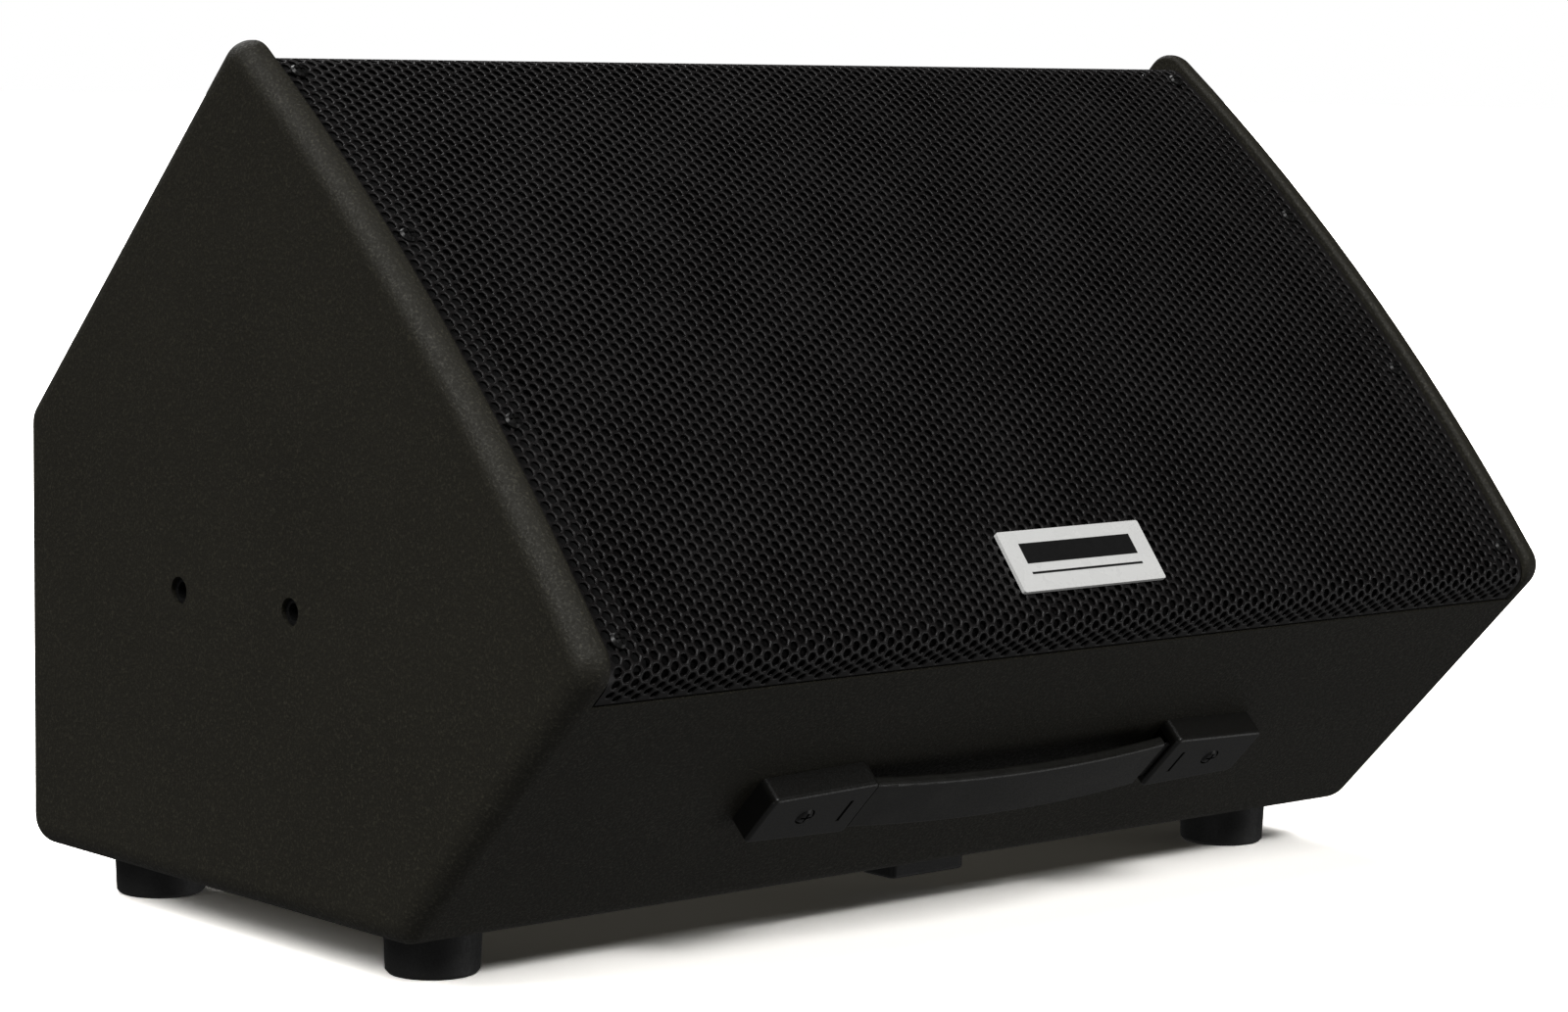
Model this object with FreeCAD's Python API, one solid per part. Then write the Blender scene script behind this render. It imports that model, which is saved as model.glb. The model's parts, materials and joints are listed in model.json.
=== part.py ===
import FreeCAD, Part
import math
import os

from FreeCAD import Placement, Rotation, Vector

# Self-powered two-way stage monitor wedge.
# Millimetres.  X runs across the front, the front faces -Y and +Z is up.
# The origin is on the floor, under the middle of the cabinet's outline.

# ---------------------------------------------------------------- cabinet
WIDTH = 520.0                   # across both side panels
SIDE = 12.0                     # side panel thickness
BOARD = 15.0                    # thickness of every other cabinet board
FOOT_HEIGHT = 20.0
REAR_Y = 185.0

# Side profile before its corners are rounded, as (y, z)
FRONT_BOTTOM = (-76.6, FOOT_HEIGHT)
NOSE = (-188.5, 134.8)
APEX = (33.6, 354.1)
REAR_TOP = (REAR_Y, 198.6)
REAR_BOTTOM = (REAR_Y, FOOT_HEIGHT)
FRONT_BOW = 11.3                # how far the front edge arcs out past its chord

CORNER_RADIUS = {"front_bottom": 15.0, "nose": 11.0, "apex": 13.0, "rear_top": 12.0, "rear_bottom": 12.0}
OUTER_ROUNDOVER = 9.0           # side panels, outside edge
INNER_ROUNDOVER = 2.0           # side panels, edge beside the grille

INNER_X = WIDTH / 2 - SIDE      # inner face of a side panel
REAR_RECESS = 22.0              # the rear panel sits this far inside the outline
BAFFLE_DEPTH = 32.0             # baffle front face behind the chord of the front edge

# ----------------------------------------------------------------- grille
GRILLE_RECESS = 3.5             # grille face below the side panels' edge
LOWER_LIP_RECESS = 0.8          # its folded lips below the boards that they meet
UPPER_LIP_RECESS = 8.5
GRILLE_SHEET = 1.2
GRILLE_BEND = 10.0              # outside radius of its two folds
GRILLE_LIP = 19.6               # from the sharp corner to the end of a folded lip
LIP_GAP = 0.9                   # lip to the board that it butts against
GRILLE_HALF = INNER_X - 0.5
BATTEN = 18.0
FOAM = 5.0
GRILLE_SCREW_X = 239.5
GRILLE_SCREW_ARC = (14.0, 108.5, 199.0, 291.0)     # along the face from the nose

BADGE_SIZE = (77.0, 27.0, 1.6)
BADGE_AT = (-4.0, 29.0)         # its centre, across and along the face from the nose

# ----------------------------------------------------------------- handle
HANDLE_DROP = 92.7              # centreline, down the slope from the nose
CAP_INNER = 82.0
CAP_OUTER = 134.0
CAP_HEIGHT = 11.0
CAP_INNER_WIDTH = 31.0
CAP_OUTER_WIDTH = 26.0
HANDLE_SCREW_X = 111.5
HANDLE_TRAVEL = 6.0             # end play of the strap between its caps
STRAP_HALF = 78.5
STRAP_WIDTH = 27.0
STRAP_THICK = 4.6
STRAP_BOW = 4.0                 # middle of the strap further from the board than its ends
STRIP_THICK = 1.4
STRIP_WIDTH = 20.0
STRIP_LIFT = 8.0                # strip centre above the board at the caps

# ------------------------------------------------------- feet and inserts
FOOT_X = 218.5
FRONT_FOOT_Y = -41.0
REAR_FOOT_Y = 148.5
FOOT_RADIUS = 19.0
PAD_CENTRE = (18.0, -53.0)
PAD_SIZE = (41.0, 20.0, 8.0)
INSERT_Y = 31.8                 # middle of the pair
INSERT_Z = 136.5
INSERT_SPACING = 76.2
INSERT_RADIUS = 5.5
INSERT_BORE = 3.4
INSERT_LENGTH = 10.0
INSERT_SINK = 2.0

# ---------------------------------------------------------- loudspeakers
WOOFER_AT = (-88.0, 0.0)        # across and up the baffle from its middle
HORN_AT = (134.0, 58.0)
PORTS_AT = ((95.0, -80.0), (173.0, -80.0))
WOOFER_FLANGE = 130.5
WOOFER_HOLE = 117.0
WOOFER_SCREW_CIRCLE = 124.5
HORN_FLANGE = 150.0
HORN_MOUTH = 62.0
HORN_THROAT = 12.5
HORN_LENGTH = 90.0
DRIVER_DEPTH = 44.0             # magnet and cap, behind the horn
PORT_RADIUS = 34.0
PORT_LENGTH = 90.0

# ------------------------------------------------------- amplifier module
PLATE_HALF = (150.0, 62.0)
PLATE_THICK = 3.0
PLATE_Z = 106.0                 # height of the plate's middle
CUTOUT_HALF = (136.0, 50.0)
INPUT_AT = (-18.0, 26.0)
LINK_AT = (-18.0, -24.0)
KNOBS_AT = {"level_knob": (32.0, 26.0), "bass_knob": (62.0, 26.0), "treble_knob": (92.0, 26.0)}
SWITCH_AT = (118.0, 26.0)
INLET_AT = (108.0, -22.0)
SINK_X = (-143.0, -45.0)
SINK_HALF_HEIGHT = 46.0
BOARD_BACK = 25.0               # circuit board behind the plate
BOARD_THICK = 1.6
WOOFER_CONNECTOR = (60.0, -18.0)
DRIVER_CONNECTOR = (-60.0, -18.0)
CONNECTOR_HALF = 8.0
CONNECTOR_HEIGHT = 9.0
TRANSFORMER_AT = (-150.0, 80.0)

X_AXIS = Vector(1, 0, 0)
Y_AXIS = Vector(0, 1, 0)
Z_AXIS = Vector(0, 0, 1)


# ------------------------------------------------------------ 2-D helpers
def toward(start, end):
    """Unit direction from one (y, z) point to another."""
    length = math.hypot(end[0] - start[0], end[1] - start[1])
    return ((end[0] - start[0]) / length, (end[1] - start[1]) / length)


def step(point, direction, distance):
    return (point[0] + direction[0] * distance, point[1] + direction[1] * distance)


def inset_line(start, end, inset):
    """The profile runs clockwise, so inward is to the right of each side."""
    direction = toward(start, end)
    inward = (direction[1], -direction[0])
    return step(start, inward, inset), direction


def meet(line_a, line_b):
    (ay, az), (ady, adz) = line_a
    (by, bz), (bdy, bdz) = line_b
    along = ((by - ay) * bdz - (bz - az) * bdy) / (ady * bdz - adz * bdy)
    return (ay + ady * along, az + adz * along)


def meet_circle(line, centre, radius, near):
    """Where a line crosses a circle, on the side of the point near."""
    start, direction = line
    from_centre = (start[0] - centre[0], start[1] - centre[1])
    half_b = from_centre[0] * direction[0] + from_centre[1] * direction[1]
    spread = math.sqrt(half_b ** 2 - (from_centre[0] ** 2 + from_centre[1] ** 2 - radius ** 2))
    crossings = [step(start, direction, -half_b - spread), step(start, direction, -half_b + spread)]
    return min(crossings, key=lambda point: math.dist(point, near))


# ---------------------------------------------------- geometry of the front
CHORD = math.dist(NOSE, APEX)
CHORD_DIRECTION = toward(NOSE, APEX)
FRONT_RADIUS = (CHORD ** 2 / 4 + FRONT_BOW ** 2) / (2 * FRONT_BOW)
FRONT_ARC = 2 * FRONT_RADIUS * math.asin(CHORD / 2 / FRONT_RADIUS)
CHORD_MIDDLE = step(NOSE, CHORD_DIRECTION, CHORD / 2)
FRONT_CENTRE = step(CHORD_MIDDLE, (CHORD_DIRECTION[1], -CHORD_DIRECTION[0]), FRONT_RADIUS - FRONT_BOW)

LOWER_LINE = (FRONT_BOTTOM, NOSE)
UPPER_LINE = (APEX, REAR_TOP)
BOARD_END = GRILLE_LIP + LIP_GAP


# ----------------------------------------------------------------- frames
def slope_frame(point, direction):
    """Local X stays across, local Y runs up the slope and local Z points out of it."""
    angle = math.degrees(math.atan2(direction[1], direction[0]))
    return Placement(Vector(0, point[0], point[1]), Rotation(X_AXIS, angle))


FRONT_FRAME = slope_frame(CHORD_MIDDLE, CHORD_DIRECTION)
BAFFLE_FRAME = FRONT_FRAME.multiply(Placement(Vector(0, 0, -BAFFLE_DEPTH), Rotation()))
HANDLE_FRAME = slope_frame(step(NOSE, toward(NOSE, FRONT_BOTTOM), HANDLE_DROP), toward(FRONT_BOTTOM, NOSE))
REAR_FRAME = Placement(
    Vector(0, REAR_Y - REAR_RECESS, PLATE_Z), Rotation(Z_AXIS, 180).multiply(Rotation(X_AXIS, 90)))


def face_frame(x, arc, inset):
    """A frame on the bowed face, at a distance along it from the nose, with Z pointing out."""
    angle = (arc - FRONT_ARC / 2) / FRONT_RADIUS
    radius = FRONT_RADIUS - inset
    place = Vector(x, radius * math.sin(angle), FRONT_BOW - FRONT_RADIUS + radius * math.cos(angle))
    return FRONT_FRAME.multiply(Placement(place, Rotation(X_AXIS, -math.degrees(angle))))


def at(x, y, z=0.0):
    return Placement(Vector(x, y, z), Rotation())


def moved(shape, frame):
    result = shape.copy()
    result.Placement = frame.multiply(result.Placement)
    return result


# ----------------------------------------------------------------- solids
def box(x0, x1, y0, y1, z0, z1):
    return Part.makeBox(x1 - x0, y1 - y0, z1 - z0, Vector(x0, y0, z0))


def rod(radius, z0, z1, x=0.0, y=0.0):
    return Part.makeCylinder(radius, z1 - z0, Vector(x, y, z0))


def tube(outer, inner, z0, z1, x=0.0, y=0.0):
    return rod(outer, z0, z1, x, y).cut(rod(inner, z0 - 1, z1 + 1, x, y))


def turned(outline, angle=360.0):
    """Revolves a closed (radius, height) outline about the local Z axis."""
    points = [Vector(radius, 0, height) for radius, height in outline]
    face = Part.Face(Part.makePolygon(points + points[:1]))
    return face.revolve(Vector(0, 0, 0), Z_AXIS, angle)


def fused(shapes):
    return shapes[0].multiFuse(shapes[1:]).removeSplitter()


def across(outline, x0, x1):
    """A prism along X with a (y, z) outline."""
    points = [Vector(x0, y, z) for y, z in outline]
    face = Part.Face(Part.makePolygon(points + points[:1]))
    return face.extrude(Vector(x1 - x0, 0, 0))


def rounded_box(x0, x1, y0, y1, z0, z1, radius):
    """A box whose upright edges are rounded."""
    solid = box(x0, x1, y0, y1, z0, z1)
    return solid.makeFillet(radius, [edge for edge in solid.Edges if is_along(edge, Z_AXIS)])


def is_along(edge, axis):
    ends = [vertex.Point for vertex in edge.Vertexes]
    return len(ends) == 2 and (ends[1] - ends[0]).cross(axis).Length < 1e-6


def soften_top(solid, radius):
    """Rounds the edges that lie in the solid's highest flat face."""
    top = max(solid.Faces, key=lambda face: face.CenterOfMass.z)
    return solid.makeFillet(radius, top.Edges)


def cabinet_prism(x0, x1, inset=0.0, radii=None, lip_insets=None):
    """The side profile, moved inward by inset, as a prism whose corners may be rounded."""
    lower_inset, upper_inset = lip_insets or (inset, inset)
    lower = inset_line(*LOWER_LINE, lower_inset)
    upper = inset_line(*UPPER_LINE, upper_inset)
    rear = inset_line(REAR_TOP, REAR_BOTTOM, inset)
    bottom = inset_line(REAR_BOTTOM, FRONT_BOTTOM, inset)
    radius = FRONT_RADIUS - inset
    corner = {
        "front_bottom": meet(bottom, lower),
        "nose": meet_circle(lower, FRONT_CENTRE, radius, NOSE),
        "apex": meet_circle(upper, FRONT_CENTRE, radius, APEX),
        "rear_top": meet(upper, rear),
        "rear_bottom": meet(rear, bottom),
    }
    point = {name: Vector(x0, y, z) for name, (y, z) in corner.items()}
    crown = step(FRONT_CENTRE, (-CHORD_DIRECTION[1], CHORD_DIRECTION[0]), radius)
    sides = [
        Part.LineSegment(point["front_bottom"], point["nose"]),
        Part.Arc(point["nose"], Vector(x0, *crown), point["apex"]),
        Part.LineSegment(point["apex"], point["rear_top"]),
        Part.LineSegment(point["rear_top"], point["rear_bottom"]),
        Part.LineSegment(point["rear_bottom"], point["front_bottom"]),
    ]
    face = Part.Face(Part.Wire([side.toShape() for side in sides]))
    solid = face.extrude(Vector(x1 - x0, 0, 0))
    for name, rounding in (radii or {}).items():
        y, z = corner[name]
        edges = [edge for edge in solid.Edges if is_along(edge, X_AXIS)
                 and math.dist((edge.CenterOfMass.y, edge.CenterOfMass.z), (y, z)) < 0.01]
        solid = solid.makeFillet(rounding, edges)
    return solid


def front_block(x0, x1, u0, u1, n0, n1):
    """A box in the frame of the front's chord: across, up the slope and outward."""
    return moved(box(x0, x1, u0, u1, n0, n1), FRONT_FRAME)


# ------------------------------------------------------------------ parts
PARTS = {}


def keep(name, *solids):
    PARTS[name] = solids[0] if len(solids) == 1 else Part.makeCompound(list(solids))


def mirrored(shape):
    return shape.mirror(Vector(0, 0, 0), X_AXIS)


# ---------------------------------------------------------------- cabinet
def insert_frames(side):
    """Frames on a side panel's outer face, one for each insert, with Z pointing out."""
    turn = Rotation(Y_AXIS, 90 * side)
    return [Placement(Vector(side * WIDTH / 2, INSERT_Y + offset, INSERT_Z), turn)
            for offset in (-INSERT_SPACING / 2, INSERT_SPACING / 2)]


def side_panel():
    """The right side panel: the whole profile, rounded outside, and inside beside the grille."""
    panel = cabinet_prism(INNER_X, WIDTH / 2, 0.0, CORNER_RADIUS)
    outer = max(panel.Faces, key=lambda face: face.CenterOfMass.x)
    panel = panel.makeFillet(OUTER_ROUNDOVER, outer.Edges)
    rim_block = front_block(INNER_X - 1, WIDTH / 2 + 1, -CHORD, CHORD, -BOARD_END, 4 * FRONT_BOW)
    rim = panel.common(rim_block)
    inner = min(rim.Faces, key=lambda face: face.CenterOfMass.x)
    bow = max(inner.Edges, key=lambda edge: edge.Length if "Circle" in str(edge.Curve) else 0)
    rim = rim.makeFillet(INNER_ROUNDOVER, [bow])
    panel = panel.cut(rim_block).fuse(rim)
    holes = [moved(rod(INSERT_RADIUS, -INSERT_LENGTH - INSERT_SINK, 1), frame) for frame in insert_frames(1)]
    return panel.cut(holes)


def side_insert():
    return tube(INSERT_RADIUS, INSERT_BORE, -INSERT_LENGTH - INSERT_SINK, -INSERT_SINK)


def cabinet_boards():
    """Boards between the side panels, mitred at the front and flush with the profile."""
    outline = cabinet_prism(-INNER_X, INNER_X, 0.0, CORNER_RADIUS)
    lower_in = inset_line(*LOWER_LINE, BOARD)
    upper_in = inset_line(*UPPER_LINE, BOARD)
    floor_in = inset_line(REAR_BOTTOM, FRONT_BOTTOM, BOARD)
    mitre = meet(lower_in, floor_in)
    lower_end = step(NOSE, toward(NOSE, FRONT_BOTTOM), BOARD_END)
    lower_end_in = meet(lower_in, inset_line(lower_end, step(lower_end, CHORD_DIRECTION, 1), 0.0))
    upper_end = step(APEX, toward(APEX, REAR_TOP), BOARD_END)
    upper_end_in = meet(upper_in, inset_line(upper_end, step(upper_end, CHORD_DIRECTION, 1), 0.0))
    rear_line = ((REAR_Y, 0.0), (0.0, 1.0))
    rear_out = ((REAR_Y - REAR_RECESS, 0.0), (0.0, 1.0))
    rear_in = ((REAR_Y - REAR_RECESS - BOARD, 0.0), (0.0, 1.0))
    bottom = across([FRONT_BOTTOM, mitre, meet(rear_line, floor_in), REAR_BOTTOM], -INNER_X, INNER_X)
    lower = across([FRONT_BOTTOM, lower_end, lower_end_in, mitre], -INNER_X, INNER_X)
    upper = across([upper_end, REAR_TOP, meet(rear_line, upper_in), upper_end_in], -INNER_X, INNER_X)
    rear = across(
        [meet(rear_out, floor_in), meet(rear_in, floor_in), meet(rear_in, upper_in), meet(rear_out, upper_in)],
        -INNER_X, INNER_X)
    cutout = moved(box(-CUTOUT_HALF[0], CUTOUT_HALF[0], -CUTOUT_HALF[1], CUTOUT_HALF[1], -BOARD - 1, 1), REAR_FRAME)
    return bottom.common(outline), lower.common(outline), upper.common(outline), rear.cut(cutout)


def baffle_board():
    lower_in = inset_line(*LOWER_LINE, BOARD)
    upper_in = inset_line(*UPPER_LINE, BOARD)
    inward = (CHORD_DIRECTION[1], -CHORD_DIRECTION[0])
    front = (step(NOSE, inward, BAFFLE_DEPTH), CHORD_DIRECTION)
    back = (step(NOSE, inward, BAFFLE_DEPTH + BOARD), CHORD_DIRECTION)
    outline = [meet(front, lower_in), meet(front, upper_in), meet(back, upper_in), meet(back, lower_in)]
    holes = [rod(WOOFER_HOLE, -BOARD - 1, 1, *WOOFER_AT), rod(HORN_MOUTH + 4, -BOARD - 1, 1, *HORN_AT)]
    holes += [rod(PORT_RADIUS, -BOARD - 1, 1, *place) for place in PORTS_AT]
    return across(outline, -INNER_X, INNER_X).cut([moved(hole, BAFFLE_FRAME) for hole in holes])


# ----------------------------------------------------------------- grille
def grille_layer(half, depth):
    """Everything under the grille at a depth below its outer surface."""
    radius = GRILLE_BEND - depth
    return cabinet_prism(-half, half, GRILLE_RECESS + depth, {"nose": radius, "apex": radius},
                         (LOWER_LIP_RECESS + depth, UPPER_LIP_RECESS + depth))


def grille_sheet():
    sheet = grille_layer(GRILLE_HALF, 0.0).cut(grille_layer(INNER_X, GRILLE_SHEET))
    return sheet.common(front_block(-INNER_X, INNER_X, -CHORD, CHORD, -GRILLE_LIP, 4 * FRONT_BOW))


def grille_batten():
    """The right batten, from the grille's sheet down to the baffle and notched over the lower board."""
    x0 = INNER_X - BATTEN
    end = CHORD / 2
    layer = grille_layer(INNER_X, GRILLE_SHEET)
    layer = layer.common(front_block(x0, INNER_X, 4.0 - end, end - BOARD - 1, -BAFFLE_DEPTH, 4 * FRONT_BOW))
    return layer.cut(front_block(x0, INNER_X, -end, BOARD + 1 - end, -BAFFLE_DEPTH, 0.3 - BOARD_END))


def grille_foam():
    """Foam over the whole inside of the sheet, both lips too, between the battens."""
    half = INNER_X - BATTEN - 0.5
    foam = grille_layer(half, GRILLE_SHEET + 0.2).cut(grille_layer(half + 1, GRILLE_SHEET + 0.2 + FOAM))
    return foam.common(front_block(-half, half, -CHORD, CHORD, 1.0 - GRILLE_LIP, 4 * FRONT_BOW))


def grille_screw():
    head = turned([(0, 0), (3.4, 0), (3.4, 0.8), (2.6, 1.7), (0, 2.0)])
    cross = [box(-2.1, 2.1, -0.4, 0.4, 1.0, 3), box(-0.4, 0.4, -2.1, 2.1, 1.0, 3)]
    return head.fuse(rod(1.9, -20, 0)).cut(cross)


def badge():
    """A plain plate with two posts that pass through the grille."""
    width, height, thickness = BADGE_SIZE
    plate = rounded_box(-width / 2, width / 2, -height / 2, height / 2, 0.1, 0.1 + thickness, 1.0)
    posts = [rod(1.2, -5, 0.1, x) for x in (-width / 3, width / 3)]
    return plate.fuse(posts).removeSplitter()


def build_front():
    sheet = grille_sheet()
    screws = [moved(grille_screw(), face_frame(side * GRILLE_SCREW_X, arc, GRILLE_RECESS))
              for side in (-1, 1) for arc in GRILLE_SCREW_ARC]
    screw_holes = [moved(rod(1.9, -21, 3), face_frame(side * GRILLE_SCREW_X, arc, GRILLE_RECESS))
                   for side in (-1, 1) for arc in GRILLE_SCREW_ARC]
    plate = moved(badge(), face_frame(*BADGE_AT, GRILLE_RECESS))
    batten = grille_batten()
    keep("grille", sheet.cut(screw_holes + [plate]))
    keep("grille_battens", batten.cut(screw_holes), mirrored(batten).cut(screw_holes))
    keep("grille_foam", grille_foam().cut(plate))
    keep("grille_screws", *screws)
    keep("badge", plate)


# ------------------------------------------------------------- feet, pads
def foot():
    return turned([(8, 0), (17, 0), (18.2, 1.4), (FOOT_RADIUS, 18.6), (18.2, FOOT_HEIGHT),
                   (2.5, FOOT_HEIGHT), (2.5, 6), (8, 6)])


def foot_screw():
    return turned([(0, 2.6), (3.5, 2.9), (5, 4.4), (7.6, 4.8), (7.6, 6), (2.5, 6), (2.5, 30), (0, 33)])


def build_feet():
    places = {"foot_front_left": (-FOOT_X, FRONT_FOOT_Y), "foot_front_right": (FOOT_X, FRONT_FOOT_Y),
              "foot_rear_left": (-FOOT_X, REAR_FOOT_Y), "foot_rear_right": (FOOT_X, REAR_FOOT_Y)}
    for name, place in places.items():
        keep(name, moved(foot(), at(*place)))
    screws = [moved(foot_screw(), at(*place)) for place in places.values()]
    keep("foot_screws", *screws)
    length, depth, thickness = PAD_SIZE
    pad = rounded_box(-length / 2, length / 2, -depth / 2, depth / 2, 0, thickness, 3.0)
    pad = pad.makeFillet(1.5, min(pad.Faces, key=lambda face: face.CenterOfMass.z).Edges)
    keep("bumper_pad", moved(pad, at(*PAD_CENTRE, FOOT_HEIGHT - thickness)))
    return screws


# ----------------------------------------------------------------- handle
def handle_cap():
    """The right end cap: a hollow cover that tapers outward, with a screw boss and a groove."""
    inner, outer = CAP_INNER_WIDTH / 2, CAP_OUTER_WIDTH / 2
    outline = [(CAP_INNER, -inner), (CAP_OUTER, -outer), (CAP_OUTER, outer), (CAP_INNER, inner)]
    points = [Vector(x, y, 0) for x, y in outline]
    block = Part.Face(Part.makePolygon(points + points[:1])).extrude(Vector(0, 0, CAP_HEIGHT))
    block = block.makeFillet(2.5, [edge for edge in block.Edges if is_along(edge, Z_AXIS)])
    block = soften_top(block, 1.6)
    hollow = box(CAP_INNER - 1, CAP_OUTER - 3, -STRIP_WIDTH / 2 - 0.5, STRIP_WIDTH / 2 + 0.5, -1,
                 STRIP_LIFT + STRIP_THICK / 2 + 0.4)
    boss = rod(4.5, 0, CAP_HEIGHT - 1, HANDLE_SCREW_X)
    groove = box(90.6, 92.2, -6.5, 6.5, CAP_HEIGHT - 0.7, CAP_HEIGHT + 1)
    recess = rod(4.3, CAP_HEIGHT - 1.6, CAP_HEIGHT + 1, HANDLE_SCREW_X)
    return block.cut(hollow).fuse(boss).cut([groove, recess, rod(2.5, -1, CAP_HEIGHT + 1, HANDLE_SCREW_X)])


def handle_screw():
    top = CAP_HEIGHT - 1.6
    head = turned([(0, top), (4.1, top), (4.1, top + 1.0), (2.8, top + 2.2), (0, top + 2.5)])
    slots = [box(-2.6, 2.6, -0.5, 0.5, top + 1.6, top + 3), box(-0.5, 0.5, -2.6, 2.6, top + 1.6, top + 3)]
    return head.fuse(rod(2.5, -BOARD + 2, top)).cut(slots)


def bowed_bar(half, bow, width, thickness):
    """A flat bar that arches outward along an arc, centred on Z = 0 at its ends."""
    radius = (half ** 2 + bow ** 2) / (2 * bow)
    start = Vector(0, -width / 2, bow - radius)
    bar = Part.makeCylinder(radius + thickness / 2, width, start, Y_AXIS)
    bar = bar.cut(Part.makeCylinder(radius - thickness / 2, width, start, Y_AXIS))
    return bar.common(box(-half, half, -width, width, -thickness, thickness + bow))


def strap_strip():
    """The spring steel strip inside the strap, with a slot near each end for a cap's boss."""
    flat_end = HANDLE_SCREW_X + 12.5
    half = STRIP_THICK / 2
    strip = bowed_bar(STRAP_HALF, STRAP_BOW, STRIP_WIDTH, STRIP_THICK)
    ends = [box(STRAP_HALF, flat_end, -STRIP_WIDTH / 2, STRIP_WIDTH / 2, -half, half)]
    ends.append(mirrored(ends[0]))
    reach = HANDLE_TRAVEL / 2 + 0.4
    slots = []
    for side in (-1, 1):
        middle = side * HANDLE_SCREW_X
        slots.append(box(middle - reach, middle + reach, -4.9, 4.9, -2, 2))
        slots += [rod(4.9, -2, 2, middle - reach), rod(4.9, -2, 2, middle + reach)]
    return fused([strip] + ends).cut(slots)


def strap_grip(strip):
    """The moulded grip around the strip, thinner towards its long edges."""
    grip = bowed_bar(STRAP_HALF, STRAP_BOW, STRAP_WIDTH, STRAP_THICK)
    grip = grip.makeFillet(1.4, [edge for edge in grip.Edges if edge.Length > STRAP_HALF])
    return grip.cut(strip)


def build_handle():
    cap = handle_cap()
    screws = [moved(handle_screw(), HANDLE_FRAME.multiply(at(side * HANDLE_SCREW_X, 0))) for side in (-1, 1)]
    strip = strap_strip()
    grip = strap_grip(strip)
    rest = HANDLE_FRAME.multiply(at(-HANDLE_TRAVEL / 2, 0, STRIP_LIFT))
    keep("handle_cap_right", moved(cap, HANDLE_FRAME))
    keep("handle_cap_left", moved(mirrored(cap), HANDLE_FRAME))
    keep("handle_screws", *screws)
    keep("handle_strap", moved(grip, rest))
    keep("handle_strip", moved(strip, rest))
    return screws


# ----------------------------------------------------------------- woofer
def woofer_basket():
    outline = [(110, 5), (WOOFER_FLANGE, 5), (WOOFER_FLANGE, 0), (116.5, 0), (116.5, -8), (69, -62.5), (66, -66),
               (66, -82), (36, -82), (36, -78), (62.5, -78), (62.5, -66), (55, -66), (55, -62), (64, -62),
               (111, -8), (110, -8)]
    window = turned([(68, -54), (125, -54), (125, -16), (68, -16)], 40.0)
    windows = [window.rotated(Vector(0, 0, 0), Z_AXIS, 60 * turn) for turn in range(6)]
    holes = [moved(rod(2.5, -1, 6), place) for place in woofer_screw_places()]
    return turned(outline).cut(windows + holes)


def woofer_screw_places():
    return [Placement(Vector(0, 0, 0), Rotation(Z_AXIS, 22.5 + 45 * turn)).multiply(at(WOOFER_SCREW_CIRCLE, 0))
            for turn in range(8)]


def woofer_surround():
    """A half-roll rubber ring between the cone's rim and the basket."""
    low, high, crest = 5.0, 5.8, 103.5
    points = [(91.8, low), (97.4, low), (109.6, low), (115.8, low), (115.8, high), (110.4, high), (96.6, high),
              (91.8, high)]
    vectors = [Vector(radius, 0, height) for radius, height in points]
    edges = []
    for index, start in enumerate(vectors):
        end = vectors[(index + 1) % len(vectors)]
        rise = {1: 11.1, 5: 12.7}.get(index)
        curve = Part.Arc(start, Vector(crest, 0, rise), end) if rise else Part.LineSegment(start, end)
        edges.append(curve.toShape())
    return Part.Face(Part.Wire(edges)).revolve(Vector(0, 0, 0), Z_AXIS, 360)


def woofer_spider():
    """A corrugated ring that centres the voice coil."""
    radii = [25.6 + 36.2 * share / 12 for share in range(13)]
    heights = [0.0] + [1.2 if share % 2 else -1.2 for share in range(1, 10)] + [0.0, 0.0, 0.0]
    upper = [(radius, -61.1 + height) for radius, height in zip(radii, heights)]
    lower = [(radius, height - 0.8) for radius, height in upper]
    return turned(upper + lower[::-1])


def dust_cap():
    """A shallow dome over the voice coil."""
    base, rise, skin = 34.0, 12.0, 0.8
    outer = Part.Arc(Vector(base, 0, 0), Vector(*dome_point(base, rise)), Vector(0, 0, rise))
    inner = Part.Arc(Vector(0, 0, rise - skin), Vector(*dome_point(base - skin, rise - skin)), Vector(base - skin, 0, 0))
    edges = [outer.toShape(), Part.makeLine(Vector(0, 0, rise), Vector(0, 0, rise - skin)), inner.toShape(),
             Part.makeLine(Vector(base - skin, 0, 0), Vector(base, 0, 0))]
    dome = Part.Face(Part.Wire(edges)).revolve(Vector(0, 0, 0), Z_AXIS, 360)
    return moved(dome, at(0, 0, -34.6))


def dome_point(base, rise):
    """A point half way up the arc of a dome."""
    radius = (base ** 2 + rise ** 2) / (2 * rise)
    angle = math.asin(base / radius) / 2
    return (radius * math.sin(angle), 0, rise - radius * (1 - math.cos(angle)))


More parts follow.
